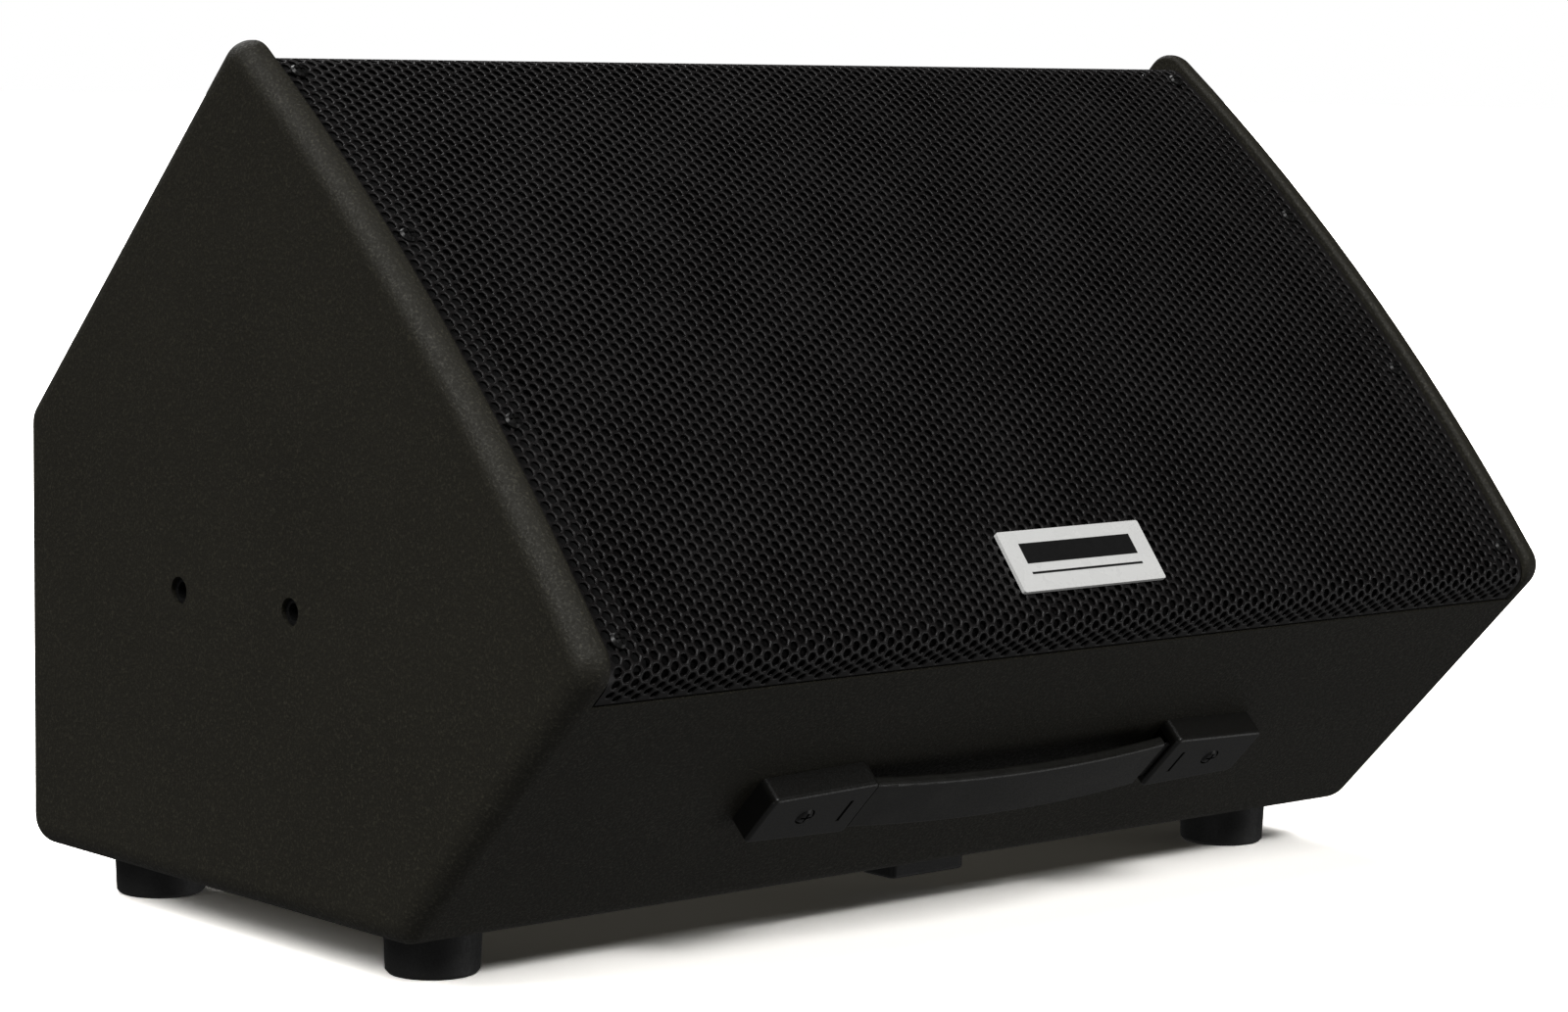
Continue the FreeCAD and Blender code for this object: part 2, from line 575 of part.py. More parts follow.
def build_woofer():
    frame = BAFFLE_FRAME.multiply(at(*WOOFER_AT))
    gasket = tube(WOOFER_FLANGE, 116.3, 5, 8).cut([moved(rod(5.2, 4, 9), place) for place in woofer_screw_places()])
    coil = tube(25.5, 24.9, -92, -38).fuse(tube(26.5, 25.5, -92, -80))
    pieces = {
        "woofer_basket": woofer_basket(),
        "woofer_gasket": gasket,
        "woofer_surround": woofer_surround(),
        "woofer_cone": turned([(25.6, -43), (92, 3.5), (97, 3.5), (97, 4.95), (91.3, 4.95), (25.6, -41)]),
        "woofer_dust_cap": dust_cap(),
        "woofer_voice_coil": coil,
        "woofer_spider": woofer_spider(),
        "woofer_top_plate": tube(58, 27.3, -90, -82),
        "woofer_magnet": soften_top(tube(70, 33, -110, -90), 1.5),
        "woofer_back_plate": turned([(8, -118), (60, -118), (60, -110), (24.3, -110), (24.3, -82), (8, -82)]),
        "woofer_terminals": box(-9, 9, 66.2, 74, -80, -68),
    }
    for name, piece in pieces.items():
        keep(name, moved(piece, frame))


# ---------------------------------------------------------- horn and ports
def flare(margin):
    """Half section of the horn's exponential bore, opened out by a wall margin."""
    steps = 6
    rate = math.log(HORN_MOUTH / HORN_THROAT) / HORN_LENGTH
    points = [Vector(HORN_THROAT * math.exp(rate * HORN_LENGTH * share / steps) + margin, 0,
                     -HORN_LENGTH + (HORN_LENGTH + 5) * share / steps) for share in range(steps + 1)]
    curve = Part.BSplineCurve()
    curve.interpolate(points)
    return curve.toShape(), points


def flared_plug(margin):
    """The solid of revolution inside a flare."""
    curve, points = flare(margin)
    top, low = points[-1], points[0]
    edges = [curve, Part.makeLine(top, Vector(0, 0, top.z)),
             Part.makeLine(Vector(0, 0, top.z), Vector(0, 0, low.z)), Part.makeLine(Vector(0, 0, low.z), low)]
    return Part.Face(Part.Wire(edges)).revolve(Vector(0, 0, 0), Z_AXIS, 360)


def horn_screw_places():
    reach = HORN_FLANGE / 2 - 9
    return [at(x, y) for x in (-reach, reach) for y in (-reach, reach)]


def horn():
    half = HORN_FLANGE / 2
    flange = rounded_box(-half, half, -half, half, 0, 5, 10.0)
    body = fused([flange, flared_plug(3.0), rod(36, -HORN_LENGTH, -HORN_LENGTH + 6)])
    holes = [moved(rod(2.5, -1, 6), place) for place in horn_screw_places()]
    return body.cut([flared_plug(0.0)] + holes)


def build_horn():
    frame = BAFFLE_FRAME.multiply(at(*HORN_AT))
    back = -HORN_LENGTH
    end = back - DRIVER_DEPTH
    cap = turned([(0, end), (38, end), (43, end + 4), (43, back - 22), (30, back - 22),
                  (30, back - 36), (0, back - 36)])
    diaphragm = turned([(27, back - 26.6), (19, back - 26.6), (14, back - 31), (0, back - 33), (0, back - 33.6),
                        (14.4, back - 31.6), (19.4, back - 27.2), (27, back - 27.2)])
    coil = tube(20.0, 19.2, back - 26.8, back - 24)
    pieces = {
        "horn": horn(),
        "driver_magnet": tube(43, HORN_THROAT, back - 22, back),
        "driver_clamp_ring": tube(30, 27.4, back - 36, back - 22),
        "hf_diaphragm": diaphragm.fuse(coil).removeSplitter(),
        "driver_cap": cap,
    }
    for name, piece in pieces.items():
        keep(name, moved(piece, frame))


def build_ports():
    outline = [(PORT_RADIUS - 2.5, -PORT_LENGTH), (PORT_RADIUS, -PORT_LENGTH), (PORT_RADIUS, 0), (38, 0), (38, 2),
               (36, 3), (34, 3), (PORT_RADIUS - 2.5, -3)]
    keep("port_tubes", *[moved(turned(outline), BAFFLE_FRAME.multiply(at(*place))) for place in PORTS_AT])


def build_baffle():
    """The baffle, and the pan-head screws that hold the woofer and the horn to it."""
    screw = turned([(0, 5), (4.6, 5), (4.6, 6.4), (3.2, 7.8), (0, 8)]).fuse(rod(2.5, -13, 5))
    places = [at(*WOOFER_AT).multiply(place) for place in woofer_screw_places()]
    places += [at(*HORN_AT).multiply(place) for place in horn_screw_places()]
    screws = [moved(screw, BAFFLE_FRAME.multiply(place)) for place in places]
    keep("baffle_board", baffle_board().cut(screws))
    keep("baffle_screws", *screws)


# ------------------------------------------------------- amplifier module
def socket_body():
    """The barrel and the hump behind a round panel socket, up to the plate's face."""
    return fused([rod(12.2, -24, PLATE_THICK), box(-7, 7, 0, 15, -24, PLATE_THICK)])


def socket_flange():
    return rounded_box(-13, 13, -15.5, 15.5, PLATE_THICK, PLATE_THICK + 1.8, 2.5)


def input_socket():
    latch_pocket = box(-4.9, 4.9, 10.4, 14.6, -1.2, 6)
    return fused([socket_body(), socket_flange()]).cut([rod(9.3, -18, 6), latch_pocket])


def input_latch():
    tab = box(-4.4, 4.4, 10.8, 14.2, 1.4, 7.0)
    return tab.makeFillet(0.8, [edge for edge in tab.Edges if is_along(edge, X_AXIS) and edge.CenterOfMass.z > 6])


def link_socket():
    pins = [rod(1.2, -15, -1, 5 * math.cos(angle), 5 * math.sin(angle))
            for angle in (math.pi / 2, math.pi * 7 / 6, math.pi * 11 / 6)]
    shell = fused([socket_body(), socket_flange()]).cut(rod(9.3, -14, 6))
    return fused([shell] + pins)


def mains_inlet():
    """An earthed appliance inlet: a shrouded cavity with three blades."""
    body = fused([rounded_box(-15, 15, -12, 12, -22, PLATE_THICK, 1.5),
                  rounded_box(-25, 25, -14.5, 14.5, PLATE_THICK, PLATE_THICK + 2, 3.0)])
    cavity = rounded_box(-12.2, 12.2, -8.2, 8.2, -12, 7, 1.5)
    blades = [box(x - 2, x + 2, y - 1, y + 1, -13, -0.5) for x, y in ((-7, -2), (0, 2.5), (7, -2))]
    return fused([body.cut(cavity)] + blades)


def switch_frame():
    body = fused([box(-13, 13, -9, 9, -18, PLATE_THICK),
                  rounded_box(-15, 15, -11, 11, PLATE_THICK, PLATE_THICK + 1.5, 1.5)])
    pivot = Part.makeCylinder(1.55, 15, Vector(0, -7.5, 1.5), Y_AXIS)
    return body.cut([box(-10.1, 10.1, -6.5, 6.5, -6, 6), pivot])


def power_rocker():
    """A rocker cap on two stub pivots, tilted to its off position."""
    outline = [(-9.5, -1.2), (9.5, -1.2), (9.5, 5.6), (0, 4.0), (-9.5, 5.6)]
    points = [Vector(x, -6.1, z) for x, z in outline]
    cap = Part.Face(Part.makePolygon(points + points[:1])).extrude(Vector(0, 12.2, 0))
    pivot = Part.makeCylinder(1.5, 14.6, Vector(0, -7.3, 1.5), Y_AXIS)
    return cap.fuse(pivot).removeSplitter().rotated(Vector(0, 0, 1.5), Y_AXIS, -8)


def potentiometer():
    body = fused([box(-8, 8, -8, 8, -14, -4), rod(4.5, -4, 4.4)])
    return body.cut(rod(3.05, -8, 6))


def knob():
    """A fluted knob with its shaft moulded in one and a raised pointer."""
    grip = turned([(0, 4.9), (8, 4.9), (8, 6.4), (7.2, 7.2), (6.6, 15.6), (5.8, 16.4), (0, 16.4)])
    flutes = [rod(1.1, 7.4, 18, 7.6 * math.cos(math.radians(angle)), 7.6 * math.sin(math.radians(angle)))
              for angle in range(0, 360, 30) if angle != 90]
    pointer = box(-0.6, 0.6, 1.5, 6.2, 16.2, 16.9)
    return fused([grip.cut(flutes), pointer, rod(3.0, -7.5, 5)])


def heat_sink():
    """A finned extrusion with upright fins."""
    left, right = SINK_X
    base = box(left, right, -SINK_HALF_HEIGHT, SINK_HALF_HEIGHT, PLATE_THICK, PLATE_THICK + 3)
    count = 13
    pitch = (right - left - 2) / (count - 1)
    fins = [box(left + pitch * place, left + pitch * place + 2, -SINK_HALF_HEIGHT, SINK_HALF_HEIGHT,
                PLATE_THICK + 3, PLATE_THICK + 14) for place in range(count)]
    return fused([base] + fins)


def board_components():
    """What stands on the circuit board: capacitors, chokes, a bracket and plug-in connectors."""
    back = -BOARD_BACK - BOARD_THICK
    round_parts = [rod(9, back - 24, back, x, 18) for x in (-30, -8)]
    round_parts += [rod(5, back - 12, back, x, -33) for x in (-90, -76, 20)]
    chokes = [tube(11, 5, back - 9, back, x, 14) for x in (28, 58)]
    bracket = box(-100, -50, -2, 4, back - 20, back)
    connectors = [moved(box(-CONNECTOR_HALF, CONNECTOR_HALF, -5, 5, back - CONNECTOR_HEIGHT, back), at(*place))
                  for place in (WOOFER_CONNECTOR, DRIVER_CONNECTOR)]
    return round_parts + chokes + [bracket] + connectors


def plate_screw_places():
    return [at(x, y) for x in (-144, -48, 48, 144) for y in (-56.5, 56.5)]


def build_amplifier():
    half_x, half_y = PLATE_HALF
    plate = rounded_box(-half_x, half_x, -half_y, half_y, 0, PLATE_THICK, 4.0)
    holes = [moved(socket_body(), at(*INPUT_AT)), moved(socket_body(), at(*LINK_AT)),
             moved(rounded_box(-15, 15, -12, 12, -1, 4, 1.5), at(*INLET_AT)),
             moved(box(-13, 13, -9, 9, -1, 4), at(*SWITCH_AT))]
    holes += [rod(4.5, -1, 4, *place) for place in KNOBS_AT.values()]
    screw = turned([(0, 3), (3.6, 3), (3.6, 4), (2.6, 5), (0, 5.2)]).fuse(rod(1.9, -12, 3)).cut(
        [box(-2, 2, -0.4, 0.4, 4.2, 6), box(-0.4, 0.4, -2, 2, 4.2, 6)])
    screws = [moved(screw, place) for place in plate_screw_places()]
    holes += [moved(rod(1.9, -13, 4), place) for place in plate_screw_places()]
    board = box(-110, 110, -42, 42, -BOARD_BACK - BOARD_THICK, -BOARD_BACK)
    pillars = [rod(3, -BOARD_BACK, 0, x, y) for x in (-105, 105) for y in (-38.5, 38.5)]
    pieces = {
        "amp_plate": [plate.cut(holes)],
        "heat_sink": [heat_sink()],
        "amp_board": [board],
        "board_components": board_components(),
        "board_pillars": pillars,
        "input_socket": [moved(input_socket(), at(*INPUT_AT))],
        "input_latch": [moved(input_latch(), at(*INPUT_AT))],
        "link_socket": [moved(link_socket(), at(*LINK_AT))],
        "mains_inlet": [moved(mains_inlet(), at(*INLET_AT))],
        "switch_frame": [moved(switch_frame(), at(*SWITCH_AT))],
        "power_rocker": [moved(power_rocker(), at(*SWITCH_AT))],
        "potentiometers": [moved(potentiometer(), at(*place)) for place in KNOBS_AT.values()],
        "plate_screws": screws,
    }
    pieces.update({name: [moved(knob(), at(*place))] for name, place in KNOBS_AT.items()})
    for name, solids in pieces.items():
        keep(name, *[moved(solid, REAR_FRAME) for solid in solids])
    return [moved(screw, REAR_FRAME) for screw in screws]


def power_transformer():
    """A toroidal transformer that stands on the bottom board."""
    ring = tube(44, 14, 0, 36)
    ring = ring.makeFillet(6, [edge for edge in ring.Edges if edge.Length > 200 and "Circle" in str(edge.Curve)])
    return moved(ring, at(*TRANSFORMER_AT, FOOT_HEIGHT + BOARD))


# ------------------------------------------------------------------ leads
def routed(points, radius):
    """A round lead along straight runs joined by tangent arcs."""
    points = [Vector(*point) for point in points]
    edges = []
    start = points[0]
    for before, corner, after in zip(points, points[1:], points[2:]):
        back, ahead = before - corner, after - corner
        half_turn = (math.pi - back.getAngle(ahead)) / 2
        setback = 0.45 * min(back.Length, ahead.Length)
        print("lead bend radius %.1f mm" % (setback / math.tan(half_turn)))
        enter = corner + back.normalize() * setback
        leave = corner + ahead.normalize() * setback
        inward = (back + ahead).normalize()
        bend = setback / math.tan(half_turn)
        middle = corner + inward * (bend / math.cos(half_turn) - bend)
        edges.append(Part.makeLine(start, enter))
        edges.append(Part.Arc(enter, middle, leave).toShape())
        start = leave
    edges.append(Part.makeLine(start, points[-1]))
    path = Part.Wire(edges)
    profile = Part.Wire(Part.makeCircle(radius, points[0], points[1] - points[0]))
    lead = path.makePipeShell([profile], True, False)
    print("lead %.0f mm long, volume %.0f of %.0f mm3" % (
        path.Length, lead.Volume, math.pi * radius ** 2 * path.Length))
    return lead


def place_of(frame, x, y, z):
    return tuple(frame.multVec(Vector(x, y, z)))


def build_leads():
    """Two leads from the circuit board: one to the woofer, one to the compression driver."""
    woofer_frame = BAFFLE_FRAME.multiply(at(*WOOFER_AT))
    driver_frame = BAFFLE_FRAME.multiply(at(*HORN_AT))
    entry = -BOARD_BACK - BOARD_THICK - CONNECTOR_HEIGHT / 2
    woofer_end = place_of(REAR_FRAME, WOOFER_CONNECTOR[0] + CONNECTOR_HALF, WOOFER_CONNECTOR[1], entry)
    driver_end = place_of(REAR_FRAME, DRIVER_CONNECTOR[0] - CONNECTOR_HALF, DRIVER_CONNECTOR[1], entry)
    cap_back = -HORN_LENGTH - DRIVER_DEPTH
    woofer_route = [place_of(woofer_frame, 0, 74, -74), place_of(woofer_frame, 0, 100, -74), (-92, 96, 226),
                    (-104, 118, 186), (-117, 131, 142), (-115, woofer_end[1], 110),
                    (woofer_end[0] - 30, woofer_end[1], woofer_end[2]), woofer_end]
    driver_route = [place_of(driver_frame, 0, 0, cap_back), place_of(driver_frame, 0, 0, cap_back - 28),
                    (126, 119, 118), (driver_end[0] + 30, driver_end[1], driver_end[2]), driver_end]
    keep("speaker_leads", routed(woofer_route, 2.5), routed(driver_route, 2.5))


# --------------------------------------------------------------- assembly
def build_cabinet(foot_screws, handle_screws, plate_screws):
    bottom, lower, upper, rear = cabinet_boards()
    right = side_panel()
    keep("right_side_panel", right)
    keep("left_side_panel", mirrored(right))
    keep("bottom_panel", bottom.cut(foot_screws))
    keep("lower_front_panel", lower.cut(handle_screws))
    keep("upper_rear_panel", upper)
    keep("rear_panel", rear.cut(plate_screws))
    keep("side_inserts", *[moved(side_insert(), frame) for side in (-1, 1) for frame in insert_frames(side)])


def main():
    build_front()
    foot_screws = build_feet()
    handle_screws = build_handle()
    build_woofer()
    build_horn()
    build_ports()
    build_baffle()
    plate_screws = build_amplifier()
    keep("power_transformer", power_transformer())
    build_leads()
    build_cabinet(foot_screws, handle_screws, plate_screws)
    os.makedirs("parts", exist_ok=True)
    for name, shape in PARTS.items():
        shape.exportStep("parts/%s.step" % name)
    print("%d nodes" % len(PARTS))


main()
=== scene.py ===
import json
import math

import bpy
from mathutils import Matrix, Vector


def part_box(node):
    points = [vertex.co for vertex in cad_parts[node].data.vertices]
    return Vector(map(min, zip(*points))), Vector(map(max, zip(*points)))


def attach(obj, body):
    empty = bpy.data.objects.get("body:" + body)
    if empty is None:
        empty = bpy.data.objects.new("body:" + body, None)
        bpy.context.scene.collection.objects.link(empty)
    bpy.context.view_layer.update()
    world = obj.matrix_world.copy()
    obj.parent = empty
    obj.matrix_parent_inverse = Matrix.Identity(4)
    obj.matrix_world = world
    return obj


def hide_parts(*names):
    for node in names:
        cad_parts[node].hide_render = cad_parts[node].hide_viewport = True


# Looks of the stage monitor wedge.  Metres, in the same frame as the CAD model:
# X runs across the front, the front faces -Y and +Z is up.

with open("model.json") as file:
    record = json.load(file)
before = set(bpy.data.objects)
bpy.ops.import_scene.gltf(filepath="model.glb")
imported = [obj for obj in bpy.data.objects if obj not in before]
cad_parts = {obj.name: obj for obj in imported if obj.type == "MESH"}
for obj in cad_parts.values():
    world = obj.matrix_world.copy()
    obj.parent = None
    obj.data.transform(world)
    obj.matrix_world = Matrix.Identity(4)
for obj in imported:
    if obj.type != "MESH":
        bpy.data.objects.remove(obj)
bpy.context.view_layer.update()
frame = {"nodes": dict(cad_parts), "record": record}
NODES = frame["nodes"]
MM = 0.001

# ------------------------------------------------- geometry of the front
# Side profile as (y, z), repeated from the CAD source
FRONT_BOTTOM = (-0.0766, 0.020)
NOSE = (-0.1885, 0.1348)
APEX = (0.0336, 0.3541)
REAR_TOP = (0.185, 0.1986)
FRONT_BOW = 0.0113

SHEET_RECESS = 3.5 * MM         # grille face below the side panels' edge
LOWER_LIP_RECESS = 0.8 * MM     # its folded lips below the boards that they meet
UPPER_LIP_RECESS = 8.5 * MM
SHEET_BEND = 10.0 * MM
SHEET_LIP = 19.6 * MM
SHEET_THICKNESS = 1.2 * MM
PITCH = 4.93 * MM               # between neighbouring holes, up the slope
HOLE_RADIUS = 1.98 * MM
HOLE_SIDES = 10
PLAIN_EDGE = 0.9 * MM           # unperforated strip down each side
BADGE_AT = (-4.0 * MM, 29.0 * MM)       # centre of the badge, across and along the front edge from the nose
FOAM_GAP = 0.2 * MM             # between the sheet and the foam behind it
FOAM_THICKNESS = 5.0 * MM
FOAM_END = 1.5 * MM             # from the end of a lip to the foam's edge
FOAM_EDGE = 3.0 * MM            # how far in the foam's rounded edge reaches
FOAM_RIPPLE = 0.25 * MM
BADGE_FACE = 1.7 * MM           # the badge's face above the grille's
BADGE_BARS = (                  # centre above the badge's middle, and height
    (3.2 * MM, 9.0 * MM),
    (-5.6 * MM, 1.0 * MM),
)
BADGE_BAR_WIDTH = 60.0 * MM
PRINT_LIFT = 0.06 * MM
PRINT_LINE = 0.45 * MM
PLATE_FRAME = (4.5 * MM, 0.5 * MM)      # the outline's distance from the rear plate's edge, and its line
KNOB_TICKS = (10.0 * MM, 13.0 * MM, 0.4 * MM)   # inner and outer reach from the knob's centre, and line
KNOB_SWEEP = 300.0              # degrees
POINTER = (3.6 * MM, 1.0 * MM, 5.0 * MM)        # centre above the knob's centre, width and height
SOCKET_FRAMES = (               # node, and the space between it and its printed outline
    ("input_socket", 3.0 * MM),
    ("link_socket", 3.0 * MM),
    ("mains_inlet", 3.0 * MM),
    ("switch_frame", 2.5 * MM),
)

# ------------------------------------------------ the photograph's camera
CAMERA_PLACE = (-1.1166, -1.2669, 0.3438)
CAMERA_YAW = 0.7184             # from +Y towards +X
CAMERA_PITCH = -0.1084
CAMERA_ROLL = 0.0136
CAMERA_LENS = 93.45             # on a sensor 36 mm wide
AMBIENT_LOW = 0.115             # light from the surround, well below the horizon and just above it
AMBIENT_HIGH = 0.006
FLOOR_COLOUR = (3.9, 3.8, 3.65)
LIGHTS = (                      # name, direction to it, strength, spread in degrees
    ("front_high", (0.0, -1.0, 1.0), 0.77, 22),
    ("front", (0.0, -1.2, 1.0), 0.42, 18),
    ("left_high", (-1.0, -0.1, 1.0), 1.16, 30),
    ("above_left", (-0.6, -0.1, 1.0), 0.46, 30),
    ("left", (-1.0, 0.0, 0.6), 0.26, 26),
    ("behind", (0.2, 1.0, 0.8), 1.1, 34),
    ("floor_left", (-1.0, -0.4, -0.4), 0.10, 38),
    ("floor_right", (0.9, -0.8, -0.5), 0.34, 38),
)


# ------------------------------------------------------------ 2-D helpers
def toward(start, end):
    length = math.dist(start, end)
    return ((end[0] - start[0]) / length, (end[1] - start[1]) / length)


def step(point, direction, distance):
    return (point[0] + direction[0] * distance, point[1] + direction[1] * distance)


def inset_line(start, end, inset):
    """The profile runs clockwise, so inward is to the right of each side."""
    direction = toward(start, end)
    return step(start, (direction[1], -direction[0]), inset), direction


def meet(line_a, line_b):
    (ay, az), (ady, adz) = line_a
    (by, bz), (bdy, bdz) = line_b
    along = ((by - ay) * bdz - (bz - az) * bdy) / (ady * bdz - adz * bdy)
    return (ay + ady * along, az + adz * along)


def meet_circle(line, centre, radius, near):
    """Where a line crosses a circle, on the side of the point near."""
    start, direction = line
    offset = (start[0] - centre[0], start[1] - centre[1])
    half_b = offset[0] * direction[0] + offset[1] * direction[1]
    spread = math.sqrt(half_b ** 2 - (offset[0] ** 2 + offset[1] ** 2 - radius ** 2))
    crossings = [step(start, direction, -half_b - spread), step(start, direction, -half_b + spread)]
    return min(crossings, key=lambda point: math.dist(point, near))


CHORD = math.dist(NOSE, APEX)
CHORD_DIRECTION = toward(NOSE, APEX)
CHORD_INWARD = (CHORD_DIRECTION[1], -CHORD_DIRECTION[0])
FRONT_RADIUS = (CHORD ** 2 / 4 + FRONT_BOW ** 2) / (2 * FRONT_BOW)
FRONT_CENTRE = step(step(NOSE, CHORD_DIRECTION, CHORD / 2), CHORD_INWARD, FRONT_RADIUS - FRONT_BOW)


class SheetProfile:
    """The grille's outer line from the end of its lower lip to the end of its upper lip."""

    def __init__(self):
        lower, upper = (FRONT_BOTTOM, NOSE), (APEX, REAR_TOP)
        face = FRONT_RADIUS - SHEET_RECESS
        low_line, high_line = inset_line(*lower, LOWER_LIP_RECESS), inset_line(*upper, UPPER_LIP_RECESS)
        low_centre, high_centre = [
            meet_circle(inset_line(*line, recess + SHEET_BEND), FRONT_CENTRE, face - SHEET_BEND, corner)
            for line, recess, corner in ((lower, LOWER_LIP_RECESS, NOSE), (upper, UPPER_LIP_RECESS, APEX))]
        lip_limit = (step(NOSE, CHORD_INWARD, SHEET_LIP), CHORD_DIRECTION)
        low_end, high_end = meet(low_line, lip_limit), meet(high_line, lip_limit)
        low_angle, high_angle = [math.atan2(line[1][0], -line[1][1]) % (2 * math.pi)
                                 for line in (low_line, high_line)]
        face_low, face_high = [math.atan2(centre[1] - FRONT_CENTRE[1], centre[0] - FRONT_CENTRE[0])
                               for centre in (low_centre, high_centre)]
        low_fold = step(low_centre, (math.cos(low_angle), math.sin(low_angle)), SHEET_BEND)
        high_fold = step(high_centre, (math.cos(high_angle), math.sin(high_angle)), SHEET_BEND)
        self.parts = [
            (math.dist(low_end, low_fold), self.straight(low_end, low_line[1])),
            (SHEET_BEND * abs(face_low - low_angle), self.round(low_centre, SHEET_BEND, low_angle, face_low)),
            (face * abs(face_high - face_low), self.round(FRONT_CENTRE, face, face_low, face_high)),
            (SHEET_BEND * abs(high_angle - face_high),
             self.round(high_centre, SHEET_BEND, face_high, high_angle)),
            (math.dist(high_fold, high_end), self.straight(high_fold, high_line[1])),
        ]
        self.length = sum(length for length, _ in self.parts)

    @staticmethod
    def straight(start, direction):
        return lambda along, share: (step(start, direction, along), (-direction[1], direction[0]))

    @staticmethod
    def round(centre, radius, first, last):
        def place(along, share):
            angle = first + (last - first) * share
            outward = (math.cos(angle), math.sin(angle))
            return step(centre, outward, radius), outward
        return place

    def at(self, along, depth):
        """The (y, z) point at a distance along the line and a depth under it."""
        along = min(max(along, 0.0), self.length)
        for length, place in self.parts:
            if along <= length:
                break
            along -= length
        else:
            along = length
        point, outward = place(along, along / length)
        return step(point, outward, -depth)


# --------------------------------------------------------------- the mesh
def new_piece(name, vertices, faces, body="cabinet", smooth=False):
    mesh = bpy.data.meshes.new(name)
    mesh.from_pydata(vertices, [], faces)
    mesh.validate()
    for polygon in mesh.polygons:
        polygon.use_smooth = smooth
    piece = bpy.data.objects.new(name, mesh)
    bpy.context.scene.collection.objects.link(piece)
    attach(piece, body)
    return piece


class PerforatedSheet:
    """A bent sheet made of six-sided cells, each with a round hole, staggered by half a pitch."""

    def __init__(self, profile, half_width):
        self.profile, self.half_width = profile, half_width
        self.column_pitch = PITCH * math.sqrt(3) / 2
        self.corner_reach = PITCH / math.sqrt(3)
        self.columns = int((half_width - HOLE_RADIUS - PLAIN_EDGE) / self.column_pitch)
        self.rows = int((profile.length - 2 * HOLE_RADIUS - 1.2 * MM) / PITCH) + 1
        self.first_row = (profile.length - (self.rows - 1) * PITCH) / 2
        self.vertices, self.faces, self.corner_index = [], [], {}
        self.cells = [(column, row) for column in range(-self.columns, self.columns + 1)
                      for row in range(self.rows - column % 2)]

    def centre(self, column, row):
        return column * self.column_pitch, self.first_row + (row + 0.5 * (column % 2)) * PITCH

    def corner_keys(self, column, row):
        """The cell's six corners as whole numbers of thirds of a column and halves of a pitch."""
        across, along = 3 * column, 2 * row + column % 2
        return [(across + a, along + b) for a, b in ((2, 0), (1, 1), (-1, 1), (-2, 0), (-1, -1), (1, -1))]

    def vertex(self, x, along, depth):
        y, z = self.profile.at(along, depth)
        self.vertices.append((x, y, z))
        return len(self.vertices) - 1

    def corner(self, key, depth, at_edge=False):
        """A corner's vertex or, for a corner at the border, its match on the sheet's straight edge."""
        if (key, depth, at_edge) not in self.corner_index:
            x = key[0] * self.column_pitch / 3
            along = self.first_row + key[1] * PITCH / 2
            if at_edge:
                if abs(key[0]) > 3 * self.columns:
                    x = math.copysign(self.half_width, x)
                if key[1] < 2:
                    along = 0.0
                if key[1] > 2 * self.rows - 4:
                    along = self.profile.length
            self.corner_index[key, depth, at_edge] = self.vertex(x, along, depth)
        return self.corner_index[key, depth, at_edge]

    def ring(self, column, row, depth):
        x, along = self.centre(column, row)
        angles = [2 * math.pi * (side + 0.5) / HOLE_SIDES for side in range(HOLE_SIDES)]
        return [self.vertex(x + HOLE_RADIUS * math.cos(angle), along + HOLE_RADIUS * math.sin(angle), depth)
                for angle in angles]

    def fill(self, corners, ring, flip):
        """Triangles between a cell's corners and its hole's rim."""
        outer, inner = 0, 0
        while outer < 6 or inner < HOLE_SIDES:
            if inner >= HOLE_SIDES or (outer < 6 and (outer + 1) / 6 <= (inner + 0.5) / HOLE_SIDES + 1e-9):
                face = (corners[outer % 6], corners[(outer + 1) % 6], ring[(inner - 1) % HOLE_SIDES])
                outer += 1
            else:
                face = (corners[outer % 6], ring[inner % HOLE_SIDES], ring[(inner - 1) % HOLE_SIDES])
                inner += 1
            self.faces.append(face[::-1] if flip else face)

    def build(self):
        sides = set()
        for cell in self.cells:
            keys = self.corner_keys(*cell)
            rims = []
            for depth in (0.0, SHEET_THICKNESS):
                corners = [self.corner(key, depth) for key in keys]
                rims.append(self.ring(*cell, depth))
                self.fill(corners, rims[-1], depth > 0)
            for side in range(HOLE_SIDES):
                ahead = (side + 1) % HOLE_SIDES
                self.faces.append((rims[0][side], rims[0][ahead], rims[1][ahead], rims[1][side]))
            sides.update(zip(keys, keys[1:] + keys[:1]))
        for side in sides:
            if side[::-1] not in sides:
                self.border(side)
        return self.vertices, self.faces

    def border(self, side):
        """The plain strip from one side of a cell out to the straight edge, and the edge itself."""
        front, back = [[self.corner(key, depth, at_edge) for at_edge in (False, True) for key in side]
                       for depth in (0.0, SHEET_THICKNESS)]
        self.faces.append((front[1], front[0], front[2], front[3]))
        self.faces.append((back[0], back[1], back[3], back[2]))
        rim = [len(self.vertices) + index for index in range(4)]
        self.vertices += [self.vertices[index] for index in (front[3], front[2], back[2], back[3])]
        self.faces.append(tuple(rim))


